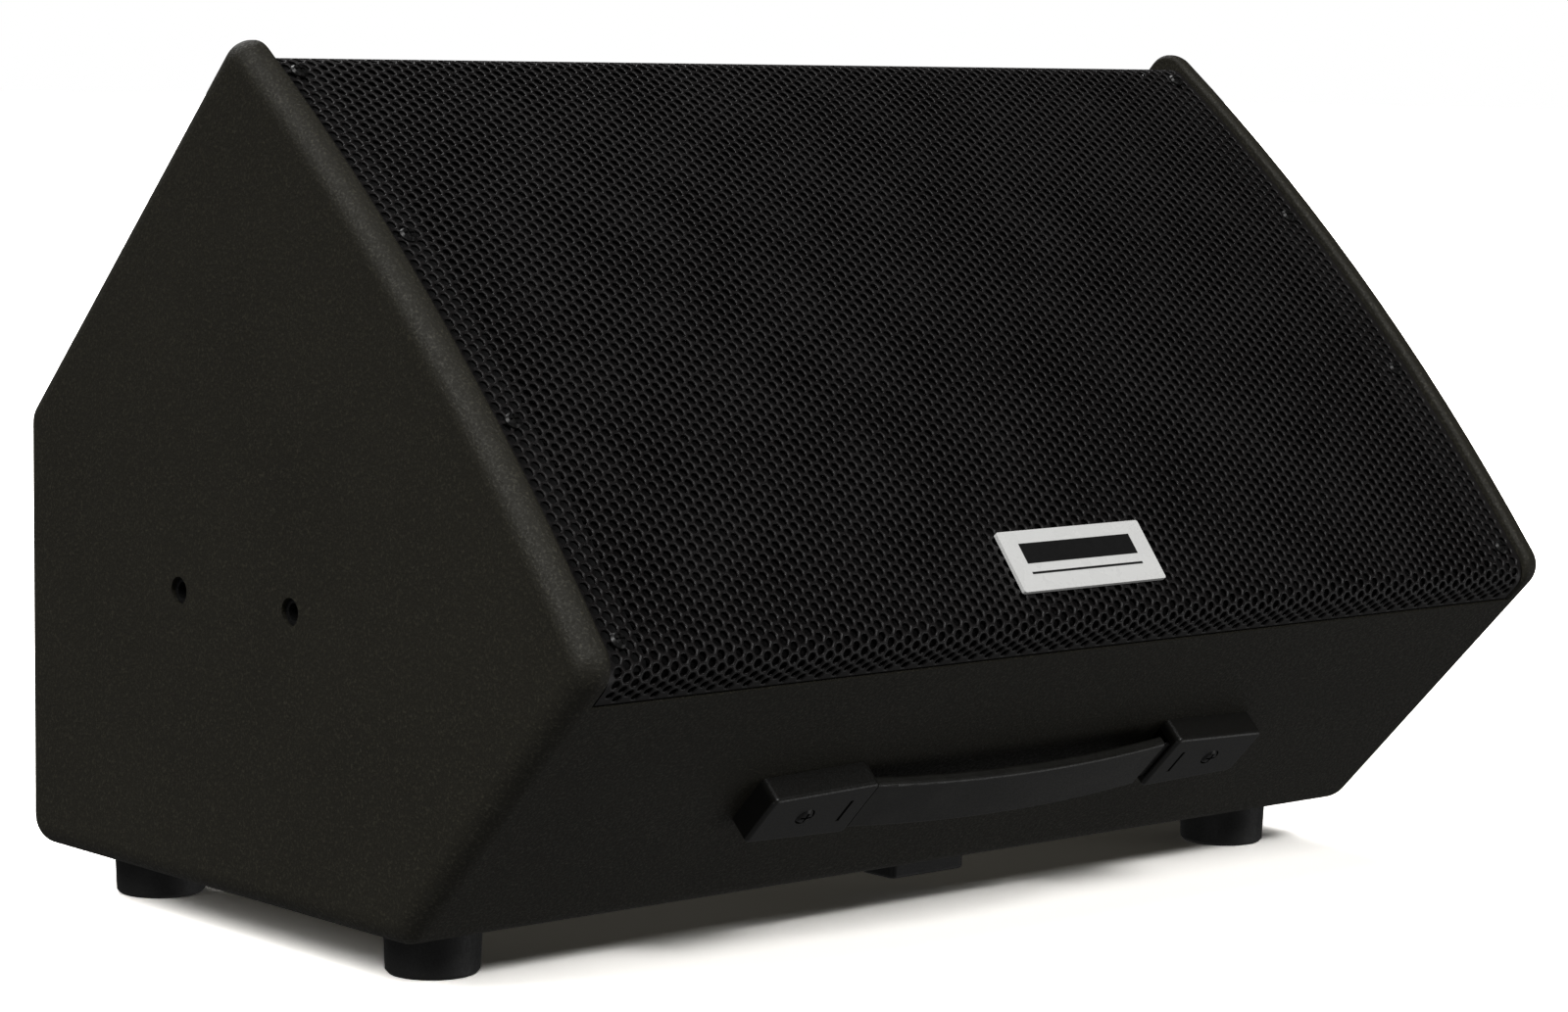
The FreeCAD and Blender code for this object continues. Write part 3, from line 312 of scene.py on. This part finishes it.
# -------------------------------------------------------------- materials
class Shader:
    """One Principled material, with short names for the nodes that it uses."""

    def __init__(self, name, colour, roughness, metallic=0.0, **sockets):
        self.material = bpy.data.materials.new(name)
        self.material.use_nodes = True
        self.tree = self.material.node_tree
        self.surface = self.tree.nodes["Principled BSDF"]
        self.place = self.add("ShaderNodeTexCoord").outputs["Object"]
        self.set("Base Color", (*colour, 1.0))
        self.set("Roughness", roughness)
        self.set("Metallic", metallic)
        for socket, value in sockets.items():
            self.set(socket.replace("_", " "), value)

    def feed(self, socket, value):
        if isinstance(value, bpy.types.NodeSocket):
            self.tree.links.new(value, socket)
        else:
            socket.default_value = value

    def set(self, socket, value):
        self.feed(self.surface.inputs[socket], value)

    def add(self, kind, settings=None, **inputs):
        node = self.tree.nodes.new(kind)
        for key, value in (settings or {}).items():
            setattr(node, key, value)
        for key, value in inputs.items():
            self.feed(node.inputs[key.replace("_", " ")], value)
        return node

    def stretched(self, x, y, z):
        """Coordinates whose pattern is drawn out along an axis by a scale under 1."""
        return self.add("ShaderNodeMapping", Vector=self.place, Scale=(x, y, z)).outputs["Vector"]

    def noise(self, size, detail=2.0, roughness=0.5, place=None):
        node = self.add("ShaderNodeTexNoise", Vector=place or self.place, Scale=1 / size, Detail=detail,
                        Roughness=roughness)
        return node.outputs["Fac"]

    def cells(self, size, feature="F1", place=None):
        node = self.add("ShaderNodeTexVoronoi", {"feature": feature}, Vector=place or self.place,
                        Scale=1 / size)
        return node.outputs["Distance"]

    def math(self, operation, first, second=0.0, third=0.0, clamp=False):
        node = self.add("ShaderNodeMath", {"operation": operation, "use_clamp": clamp})
        for socket, value in zip(node.inputs, (first, second, third)):
            self.feed(socket, value)
        return node.outputs["Value"]

    def remap(self, value, low, high, to_low=0.0, to_high=1.0):
        node = self.add("ShaderNodeMapRange", {"interpolation_type": "SMOOTHSTEP"})
        for socket, number in zip(node.inputs, (value, low, high, to_low, to_high)):
            self.feed(socket, number)
        return node.outputs["Result"]

    def mix(self, share, first, second):
        """A blend of two colours or colour sockets."""
        node = self.add("ShaderNodeMix", {"data_type": "RGBA"})
        sockets = [socket for socket in node.inputs if socket.type == "RGBA"]
        self.feed(node.inputs["Factor"], share)
        for socket, value in zip(sockets, (first, second)):
            self.feed(socket, value if isinstance(value, bpy.types.NodeSocket) else (*value, 1.0))
        return next(socket for socket in node.outputs if socket.type == "RGBA")

    def bump(self, height, depth, strength=1.0):
        node = self.add("ShaderNodeBump", Height=height, Distance=depth, Strength=strength)
        self.set("Normal", node.outputs["Normal"])

    def normal_part(self, axis):
        """One component of the surface's own normal."""
        node = self.add("ShaderNodeSeparateXYZ", Vector=self.add("ShaderNodeNewGeometry").outputs["Normal"])
        return node.outputs[axis]


def cabinet_paint():
    """Rolled textured paint: fine pebbles, warm grey flecks, and a pale painted highlight, partly real wear,
    on the rounded edges.
    """
    shader = Shader("cabinet_paint", (0.02, 0.02, 0.02), 0.62, Specular_IOR_Level=0.3)
    pebbles = shader.cells(1.9 * MM, "SMOOTH_F1")
    grain = shader.noise(1.1 * MM, 3.0, 0.6)
    height = shader.math("ADD", shader.math("MULTIPLY", grain, 0.65), shader.math("MULTIPLY", pebbles, -0.35))
    broad = shader.noise(60 * MM, 3.0, 0.6)
    dark = shader.mix(broad, (0.0150, 0.0135, 0.0090), (0.0225, 0.0205, 0.0140))
    flecks = shader.remap(grain, 0.50, 0.75)
    colour = shader.mix(flecks, dark, (0.055, 0.051, 0.036))
    # Painted highlight: the rounded edges, where the normal turns away from X, are painted paler in patches;
    # partly scuffed wear, mostly painted sheen.
    across = shader.math("POWER", shader.normal_part("X"), 2.0)
    rounded = shader.math("MULTIPLY", shader.math("MULTIPLY", across, 4.0),
                          shader.math("SUBTRACT", 1.0, across))
    sheen_and_scuff_patches = shader.remap(shader.noise(9 * MM, 4.0, 0.7), 0.50, 0.75)
    edge_highlight_and_wear = shader.math("MULTIPLY", shader.remap(rounded, 0.35, 1.0), sheen_and_scuff_patches)
    shader.set("Base Color", shader.mix(shader.math("MULTIPLY", edge_highlight_and_wear, 0.12), colour, (0.10, 0.097, 0.080)))
    shader.set("Roughness", shader.remap(grain, 0.3, 0.7, 0.72, 0.50))
    shader.bump(height, 0.55 * MM, 0.9)
    return shader.material


def baffle_black():
    """Thin matt paint through which the grain of the plywood still shows."""
    shader = Shader("baffle_black", (0.004, 0.004, 0.004), 0.85, Specular_IOR_Level=0.2)
    grain = shader.noise(3 * MM, 4.0, 0.6, shader.stretched(0.08, 1.0, 1.0))
    shader.set("Base Color", shader.mix(grain, (0.0025, 0.0025, 0.0025), (0.006, 0.006, 0.006)))
    shader.bump(grain, 0.12 * MM, 0.5)
    return shader.material


def grille_steel():
    """Satin black powder coat, with a trace of dust."""
    shader = Shader("grille_steel", (0.010, 0.0088, 0.0088), 0.42, Specular_IOR_Level=0.35)
    dust = shader.noise(45 * MM, 4.0, 0.6)
    shader.set("Base Color", shader.mix(dust, (0.0070, 0.0061, 0.0061), (0.0130, 0.0115, 0.0115)))
    shader.set("Roughness", shader.remap(dust, 0.3, 0.7, 0.38, 0.50))
    shader.bump(shader.noise(0.35 * MM, 2.0), 0.04 * MM, 0.5)
    return shader.material


def enamel():
    """White lacquer over the badge's metal, slightly yellowed."""
    shader = Shader("badge_plate", (0.93, 0.93, 0.91), 0.28)
    haze = shader.noise(9 * MM, 3.0, 0.6)
    shader.set("Base Color", shader.mix(haze, (0.90, 0.90, 0.88), (0.96, 0.96, 0.94)))
    shader.set("Roughness", shader.remap(haze, 0.3, 0.7, 0.22, 0.36))
    shader.bump(shader.noise(1.2 * MM), 0.02 * MM, 0.4)
    return shader.material


def foam():
    shader = Shader("grille_foam", (0.006, 0.006, 0.006), 0.95, Specular_IOR_Level=0.05)
    pores = shader.cells(0.9 * MM)
    shader.set("Base Color", shader.mix(pores, (0.0034, 0.0033, 0.0033), (0.0100, 0.0096, 0.0096)))
    shader.bump(pores, 0.4 * MM)
    return shader.material


def black_oxide(name="black_screw"):
    shader = Shader(name, (0.02, 0.02, 0.02), 0.32, 0.75)
    marks = shader.noise(0.8 * MM, 3.0, 0.6)
    shader.set("Base Color", shader.mix(marks, (0.014, 0.014, 0.015), (0.050, 0.049, 0.047)))
    shader.set("Roughness", shader.remap(marks, 0.3, 0.7, 0.24, 0.45))
    shader.bump(marks, 0.05 * MM, 0.4)
    return shader.material


def brushed(name, colour, roughness, along):
    """Brushed metal with its fine lines along one axis."""
    shader = Shader(name, colour, roughness, 1.0)
    scale = [1.0, 1.0, 1.0]
    scale[along] = 0.02
    lines = shader.noise(0.35 * MM, 3.0, 0.6, shader.stretched(*scale))
    low, high = [tuple(part * share for part in colour) for share in (0.86, 1.08)]
    shader.set("Base Color", shader.mix(lines, low, high))
    shader.set("Roughness", shader.remap(lines, 0.3, 0.7, roughness - 0.06, roughness + 0.08))
    shader.bump(lines, 0.02 * MM, 0.4)
    return shader.material


def rubber(name, colour, roughness, grain):
    shader = Shader(name, colour, roughness)
    fine = shader.noise(grain, 3.0, 0.6)
    bloom = shader.noise(14 * MM, 3.0, 0.6)
    pale = tuple(part * 2.1 + 0.004 for part in colour)
    shader.set("Base Color", shader.mix(shader.remap(bloom, 0.4, 0.8, 0.0, 0.55), colour, pale))
    shader.set("Roughness", shader.remap(fine, 0.3, 0.7, roughness - 0.08, roughness + 0.1))
    shader.bump(fine, 0.10 * MM, 0.5)
    return shader.material


def moulded(name, colour, roughness, grain=0.5 * MM, depth=0.05 * MM):
    """Moulded plastic with a spark-eroded grain and slight unevenness."""
    shader = Shader(name, colour, roughness)
    fine = shader.noise(grain, 2.0, 0.5)
    broad = shader.noise(18 * MM, 3.0, 0.6)
    shader.set("Base Color", shader.mix(broad, tuple(part * 0.8 for part in colour),
                                        tuple(part * 1.25 for part in colour)))
    shader.set("Roughness", shader.remap(fine, 0.3, 0.7, roughness - 0.06, roughness + 0.07))
    shader.bump(fine, depth, 0.5)
    return shader.material


def powder_coat(name, colour, roughness=0.42):
    shader = Shader(name, colour, roughness)
    peel = shader.noise(1.4 * MM, 2.0, 0.5)
    shader.set("Base Color", shader.mix(shader.noise(30 * MM, 3.0), tuple(part * 0.85 for part in colour),
                                        tuple(part * 1.2 for part in colour)))
    shader.set("Roughness", shader.remap(peel, 0.3, 0.7, roughness - 0.05, roughness + 0.06))
    shader.bump(peel, 0.08 * MM, 0.6)
    return shader.material


def zinc():
    shader = Shader("zinc_steel", (0.55, 0.55, 0.53), 0.3, 1.0)
    spangle = shader.cells(1.2 * MM)
    shader.set("Base Color", shader.mix(spangle, (0.46, 0.46, 0.45), (0.66, 0.65, 0.61)))
    shader.set("Roughness", shader.remap(spangle, 0.0, 0.8, 0.24, 0.40))
    shader.bump(shader.noise(0.6 * MM), 0.03 * MM, 0.5)
    return shader.material


def paper():
    shader = Shader("cone_paper", (0.03, 0.03, 0.032), 0.85)
    fibres = shader.noise(1.5 * MM, 5.0, 0.75)
    shader.set("Base Color", shader.mix(fibres, (0.018, 0.018, 0.020), (0.055, 0.055, 0.058)))
    shader.bump(fibres, 0.2 * MM, 0.7)
    return shader.material


def cloth(name, dark, light):
    """A plain weave, from two crossed waves."""
    shader = Shader(name, dark, 0.85)
    waves = [shader.add("ShaderNodeTexWave", {"bands_direction": axis}, Vector=shader.place,
                        Scale=520.0).outputs["Fac"] for axis in ("X", "Z")]
    weave = shader.math("MULTIPLY", *waves)
    shader.set("Base Color", shader.mix(weave, dark, light))
    shader.bump(weave, 0.12 * MM, 0.7)
    return shader.material


def ferrite():
    shader = Shader("ferrite", (0.045, 0.045, 0.05), 0.55)
    grit = shader.noise(0.7 * MM, 4.0, 0.7)
    shader.set("Base Color", shader.mix(grit, (0.030, 0.030, 0.034), (0.075, 0.075, 0.082)))
    shader.bump(grit, 0.08 * MM, 0.6)
    return shader.material


def circuit_laminate():
    """Green solder resist over a faint pattern of copper."""
    shader = Shader("circuit_board", (0.02, 0.15, 0.06), 0.3)
    copper = shader.remap(shader.cells(7 * MM, "DISTANCE_TO_EDGE"), 0.05, 0.09)
    shader.set("Base Color", shader.mix(copper, (0.012, 0.095, 0.040), (0.030, 0.20, 0.085)))
    shader.bump(copper, 0.05 * MM, 0.6)
    return shader.material


def wound(name, colour, turns):
    """Windings or overlapping tape, as fine bands one after another along Y."""
    shader = Shader(name, colour, 0.32)
    bands = shader.add("ShaderNodeTexWave", {"bands_direction": "Y"}, Vector=shader.place, Scale=turns,
                       Distortion=1.5, Detail=2.0).outputs["Fac"]
    shader.set("Base Color", shader.mix(bands, tuple(part * 0.7 for part in colour), colour))
    shader.bump(bands, 0.1 * MM, 0.6)
    return shader.material


def print_ink():
    shader = Shader("print_ink", (0.72, 0.72, 0.70), 0.5)
    shader.set("Base Color", shader.mix(shader.noise(1.2 * MM, 3.0), (0.62, 0.62, 0.60), (0.80, 0.80, 0.78)))
    return shader.material


def badge_ink():
    shader = Shader("badge_ink", (0.008, 0.008, 0.008), 0.6, Specular_IOR_Level=0.2)
    wear = shader.noise(2 * MM, 3.0)
    shader.set("Base Color", shader.mix(wear, (0.005, 0.005, 0.005), (0.012, 0.012, 0.012)))
    return shader.material


BLACK = (0.016, 0.0155, 0.0145)
MATERIALS = {
    "cabinet_paint": cabinet_paint(),
    "baffle_black": baffle_black(),
    "grille_steel": grille_steel(),
    "grille_foam": foam(),
    "black_screw": black_oxide(),
    "badge_plate": enamel(),
    "foot_rubber": rubber("foot_rubber", (0.012, 0.012, 0.0115), 0.62, 0.9 * MM),
    "handle_plastic": moulded("handle_plastic", (0.0105, 0.0100, 0.0085), 0.40, 0.7 * MM, 0.08 * MM),
    "handle_vinyl": rubber("handle_vinyl", (0.0120, 0.0115, 0.0095), 0.42, 0.8 * MM),
    "zinc_steel": zinc(),
    "cast_basket": powder_coat("cast_basket", (0.035, 0.035, 0.036)),
    "cone_paper": paper(),
    "surround_cloth": cloth("surround_cloth", (0.012, 0.012, 0.012), (0.035, 0.035, 0.035)),
    "spider_cloth": cloth("spider_cloth", (0.35, 0.21, 0.07), (0.62, 0.42, 0.16)),
    "voice_coil": wound("voice_coil", (0.72, 0.34, 0.16), 900.0),
    "ferrite": ferrite(),
    "horn_plastic": moulded("horn_plastic", BLACK, 0.45),
    "diaphragm": brushed("diaphragm", (0.74, 0.66, 0.44), 0.25, 0),
    "port_plastic": moulded("port_plastic", BLACK, 0.5),
    "amp_panel": powder_coat("amp_panel", (0.016, 0.016, 0.0165)),
    "heat_sink": brushed("heat_sink", (0.045, 0.045, 0.047), 0.42, 2),
    "circuit_board": circuit_laminate(),
    "component": moulded("component", (0.03, 0.035, 0.06), 0.35),
    "nylon": moulded("nylon", (0.68, 0.66, 0.60), 0.45),
    "socket_plastic": moulded("socket_plastic", BLACK, 0.38),
    "knob_plastic": moulded("knob_plastic", (0.020, 0.020, 0.020), 0.48, 0.6 * MM, 0.08 * MM),
    "rocker_plastic": moulded("rocker_plastic", (0.014, 0.014, 0.014), 0.20),
    "winding_tape": wound("winding_tape", (0.70, 0.52, 0.08), 160.0),
    "lead_sheath": rubber("lead_sheath", (0.018, 0.018, 0.018), 0.5, 0.9 * MM),
}


def paint(piece, material):
    piece.data.materials.clear()
    piece.data.materials.append(material)


def finish_cad_nodes():
    for row in frame["record"]["subparts"]:
        paint(NODES[row["node"]], MATERIALS[row["material_slot"]])


# ---------------------------------------------------------- new pieces
def grille():
    low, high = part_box("grille")
    vertices, faces = PerforatedSheet(SheetProfile(), (high.x - low.x) / 2).build()
    piece = new_piece("grille_perforated", vertices, faces, smooth=True)
    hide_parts("grille")
    paint(piece, MATERIALS["grille_steel"])


def grille_foam():
    """The foam behind the grille: a soft sheet, thinner toward its edges and a little uneven."""
    low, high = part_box("grille_foam")
    profile = SheetProfile()
    front = SHEET_THICKNESS + FOAM_GAP
    first, last = FOAM_END, profile.length - FOAM_END
    across, along = 90, 90
    vertices, faces = [], []
    for layer in (0, 1):
        for row in range(along + 1):
            for column in range(across + 1):
                x = low.x + (high.x - low.x) * column / across
                place = first + (last - first) * row / along
                edge = min(x - low.x, high.x - x, place - first, last - place)
                crown = FOAM_THICKNESS / 2 * (1 - min(edge / FOAM_EDGE, 1.0)) ** 2 * 0.8
                wave = math.sin(x * 95 + 1.3 * math.sin(place * 60)) * math.sin(place * 80)
                ripple = FOAM_RIPPLE * (1 + wave)
                depth = front + crown + ripple if layer == 0 else front + FOAM_THICKNESS - crown
                y, z = profile.at(place, depth)
                vertices.append((x, y, z))
    row_step, layer_step = across + 1, (across + 1) * (along + 1)
    for row in range(along):
        for column in range(across):
            corner = row * row_step + column
            quad = (corner, corner + 1, corner + 1 + row_step, corner + row_step)
            faces.append(quad)
            faces.append(tuple(index + layer_step for index in reversed(quad)))
    border = [column for column in range(across + 1)]
    border += [row * row_step + across for row in range(1, along + 1)]
    border += [along * row_step + column for column in range(across - 1, -1, -1)]
    border += [row * row_step for row in range(along - 1, 0, -1)]
    for here, ahead in zip(border, border[1:] + border[:1]):
        faces.append((ahead, here, here + layer_step, ahead + layer_step))
    piece = new_piece("foam_sheet", vertices, faces, smooth=True)
    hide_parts("grille_foam")
    paint(piece, MATERIALS["grille_foam"])


class Print:
    """Flat printed shapes on one plane, given by its origin and its across and up directions."""

    def __init__(self, origin, across, up):
        self.origin, self.across, self.up = Vector(origin), Vector(across), Vector(up)
        self.vertices, self.faces = [], []

    def shape(self, outline):
        start = len(self.vertices)
        self.vertices += [tuple(self.origin + self.across * x + self.up * y) for x, y in outline]
        self.faces.append(tuple(range(start, start + len(outline))))

    def bar(self, x, y, width, height, turn=0.0):
        corners = [(a * width / 2, b * height / 2) for a, b in ((-1, -1), (1, -1), (1, 1), (-1, 1))]
        cos, sin = math.cos(turn), math.sin(turn)
        self.shape([(x + a * cos - b * sin, y + a * sin + b * cos) for a, b in corners])

    def frame(self, x, y, width, height, line):
        for sign in (-1, 1):
            self.bar(x, y + sign * (height - line) / 2, width, line)
            self.bar(x + sign * (width - line) / 2, y, line, height - 2 * line)

    def ticks(self, x, y, inner, outer, line, count, sweep):
        """Scale marks round a control, longer at both ends and in the middle."""
        for index in range(count):
            angle = math.pi / 2 + sweep * (index / (count - 1) - 0.5)
            main = index in (0, count // 2, count - 1)
            reach = outer if main else (inner + outer) / 2
            middle = (inner + reach) / 2
            self.bar(x + middle * math.cos(angle), y + middle * math.sin(angle), reach - inner,
                     line * (1.5 if main else 1.0), angle)

    def build(self, name, material, body="cabinet"):
        piece = new_piece(name, self.vertices, self.faces, body)
        paint(piece, material)


def spider():
    """The woofer's spider, which stays on the basket where its outer edge is glued.

    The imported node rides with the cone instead, and would cut into the basket at the inward limit.
    """
    original = NODES["woofer_spider"]
    piece = bpy.data.objects.new("spider_sheet", original.data.copy())
    piece.matrix_world = original.matrix_world
    bpy.context.scene.collection.objects.link(piece)
    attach(piece, "cabinet")
    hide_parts("woofer_spider")
    paint(piece, MATERIALS["spider_cloth"])


def badge_print():
    """Plain dark bars, which stand for no mark."""
    arc = BADGE_AT[1] / FRONT_RADIUS
    start = math.atan2(NOSE[1] - FRONT_CENTRE[1], NOSE[0] - FRONT_CENTRE[0])
    angle = start - arc
    outward = (math.cos(angle), math.sin(angle))
    radius = FRONT_RADIUS - SHEET_RECESS + BADGE_FACE + PRINT_LIFT
    y, z = step(FRONT_CENTRE, outward, radius)
    print_on = Print((BADGE_AT[0], y, z), (1, 0, 0), (0, outward[1], -outward[0]))
    for middle, height in BADGE_BARS:
        print_on.bar(0, middle, BADGE_BAR_WIDTH, height)
    print_on.build("badge_bars", badge_ink())


def outline(plane, low, high, margin, line):
    """A printed frame round a box seen from behind, larger than it by the margin on every side."""
    plane.frame(-(low.x + high.x) / 2, (low.z + high.z) / 2, high.x - low.x + 2 * margin,
                high.z - low.z + 2 * margin, line)


def panel_print():
    """Scale marks and plain outlines on the rear plate, and a pointer on each knob."""
    ink = print_ink()
    plate_low, plate_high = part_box("amp_plate")
    plane = Print((0, plate_high.y + PRINT_LIFT, 0), (-1, 0, 0), (0, 0, 1))
    for node in ("level_knob", "bass_knob", "treble_knob"):
        low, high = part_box(node)
        x, z = -(low.x + high.x) / 2, (low.z + high.z) / 2
        plane.ticks(x, z, *KNOB_TICKS, 11, math.radians(KNOB_SWEEP))
        pointer = Print((0, high.y + PRINT_LIFT, 0), (-1, 0, 0), (0, 0, 1))
        lift, width, height = POINTER
        pointer.bar(x, z + lift, width, height)
        pointer.build(node.replace("knob", "pointer"), ink, node)
    for node, margin in SOCKET_FRAMES:
        outline(plane, *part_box(node), margin, PRINT_LINE)
    border, line = PLATE_FRAME
    outline(plane, plate_low, plate_high, -border, line)
    plane.build("panel_print", ink)


# --------------------------------------------------------------- the stage
def camera():
    forward = Vector((math.sin(CAMERA_YAW) * math.cos(CAMERA_PITCH),
                      math.cos(CAMERA_YAW) * math.cos(CAMERA_PITCH), math.sin(CAMERA_PITCH)))
    level = Vector((math.cos(CAMERA_YAW), -math.sin(CAMERA_YAW), 0.0))
    upright = level.cross(forward)
    right = level * math.cos(CAMERA_ROLL) + upright * math.sin(CAMERA_ROLL)
    up = right.cross(forward)
    data = bpy.data.cameras.new("photo_camera")
    data.lens = CAMERA_LENS
    data.sensor_width = 36.0
    data.clip_end = 50.0
    view = bpy.data.objects.new("photo_camera", data)
    bpy.context.scene.collection.objects.link(view)
    view.matrix_world = Matrix.Translation(CAMERA_PLACE) @ Matrix((right, up, -forward)).transposed().to_4x4()
    bpy.context.scene.camera = view


def sun(name, source, strength, spread):
    """A broad, far-off light that comes from the direction of source."""
    data = bpy.data.lights.new(name, "SUN")
    data.energy = strength
    data.angle = math.radians(spread)
    lamp = bpy.data.objects.new(name, data)
    bpy.context.scene.collection.objects.link(lamp)
    lamp.rotation_euler = (-Vector(source)).to_track_quat("-Z", "Y").to_euler()


def floor():
    """A pale floor, over-lit as on a light table. The floor_ lights stand for what it throws back."""
    reach = 30.0
    mesh = bpy.data.meshes.new("floor")
    corners = [(-reach, -reach, 0), (reach, -reach, 0), (reach, reach, 0), (-reach, reach, 0)]
    mesh.from_pydata(corners, [], [(0, 1, 2, 3)])
    ground = bpy.data.objects.new("floor", mesh)
    bpy.context.scene.collection.objects.link(ground)
    ground.visible_diffuse = False
    ground.visible_glossy = False
    ground.visible_shadow = False
    shader = Shader("floor", FLOOR_COLOUR, 0.9, Specular_IOR_Level=0.0)
    paint(ground, shader.material)


def lighting():
    """A white surround that lights the object far less than it shows, and the broad lights."""
    world = bpy.data.worlds.new("white")
    bpy.context.scene.world = world
    world.use_nodes = True
    tree = world.node_tree
    background = tree.nodes["Background"]
    height = tree.nodes.new("ShaderNodeSeparateXYZ")
    tree.links.new(tree.nodes.new("ShaderNodeTexCoord").outputs["Generated"], height.inputs["Vector"])
    ambient = tree.nodes.new("ShaderNodeMapRange")
    tree.links.new(height.outputs["Z"], ambient.inputs["Value"])
    limits = {"From Min": -0.3, "From Max": 0.05, "To Min": AMBIENT_LOW, "To Max": AMBIENT_HIGH}
    for name, value in limits.items():
        ambient.inputs[name].default_value = value
    strength = tree.nodes.new("ShaderNodeMix")
    tree.links.new(tree.nodes.new("ShaderNodeLightPath").outputs["Is Camera Ray"], strength.inputs["Factor"])
    tree.links.new(ambient.outputs["Result"], strength.inputs["A"])
    strength.inputs["B"].default_value = 1.0
    tree.links.new(strength.outputs["Result"], background.inputs["Strength"])
    background.inputs["Color"].default_value = (1.0, 1.0, 1.0, 1.0)
    for name, source, strength, spread in LIGHTS:
        sun(name, source, strength, spread)
    bpy.context.scene.view_settings.view_transform = "Standard"


finish_cad_nodes()
grille()
grille_foam()
spider()
badge_print()
panel_print()
camera()
floor()
lighting()
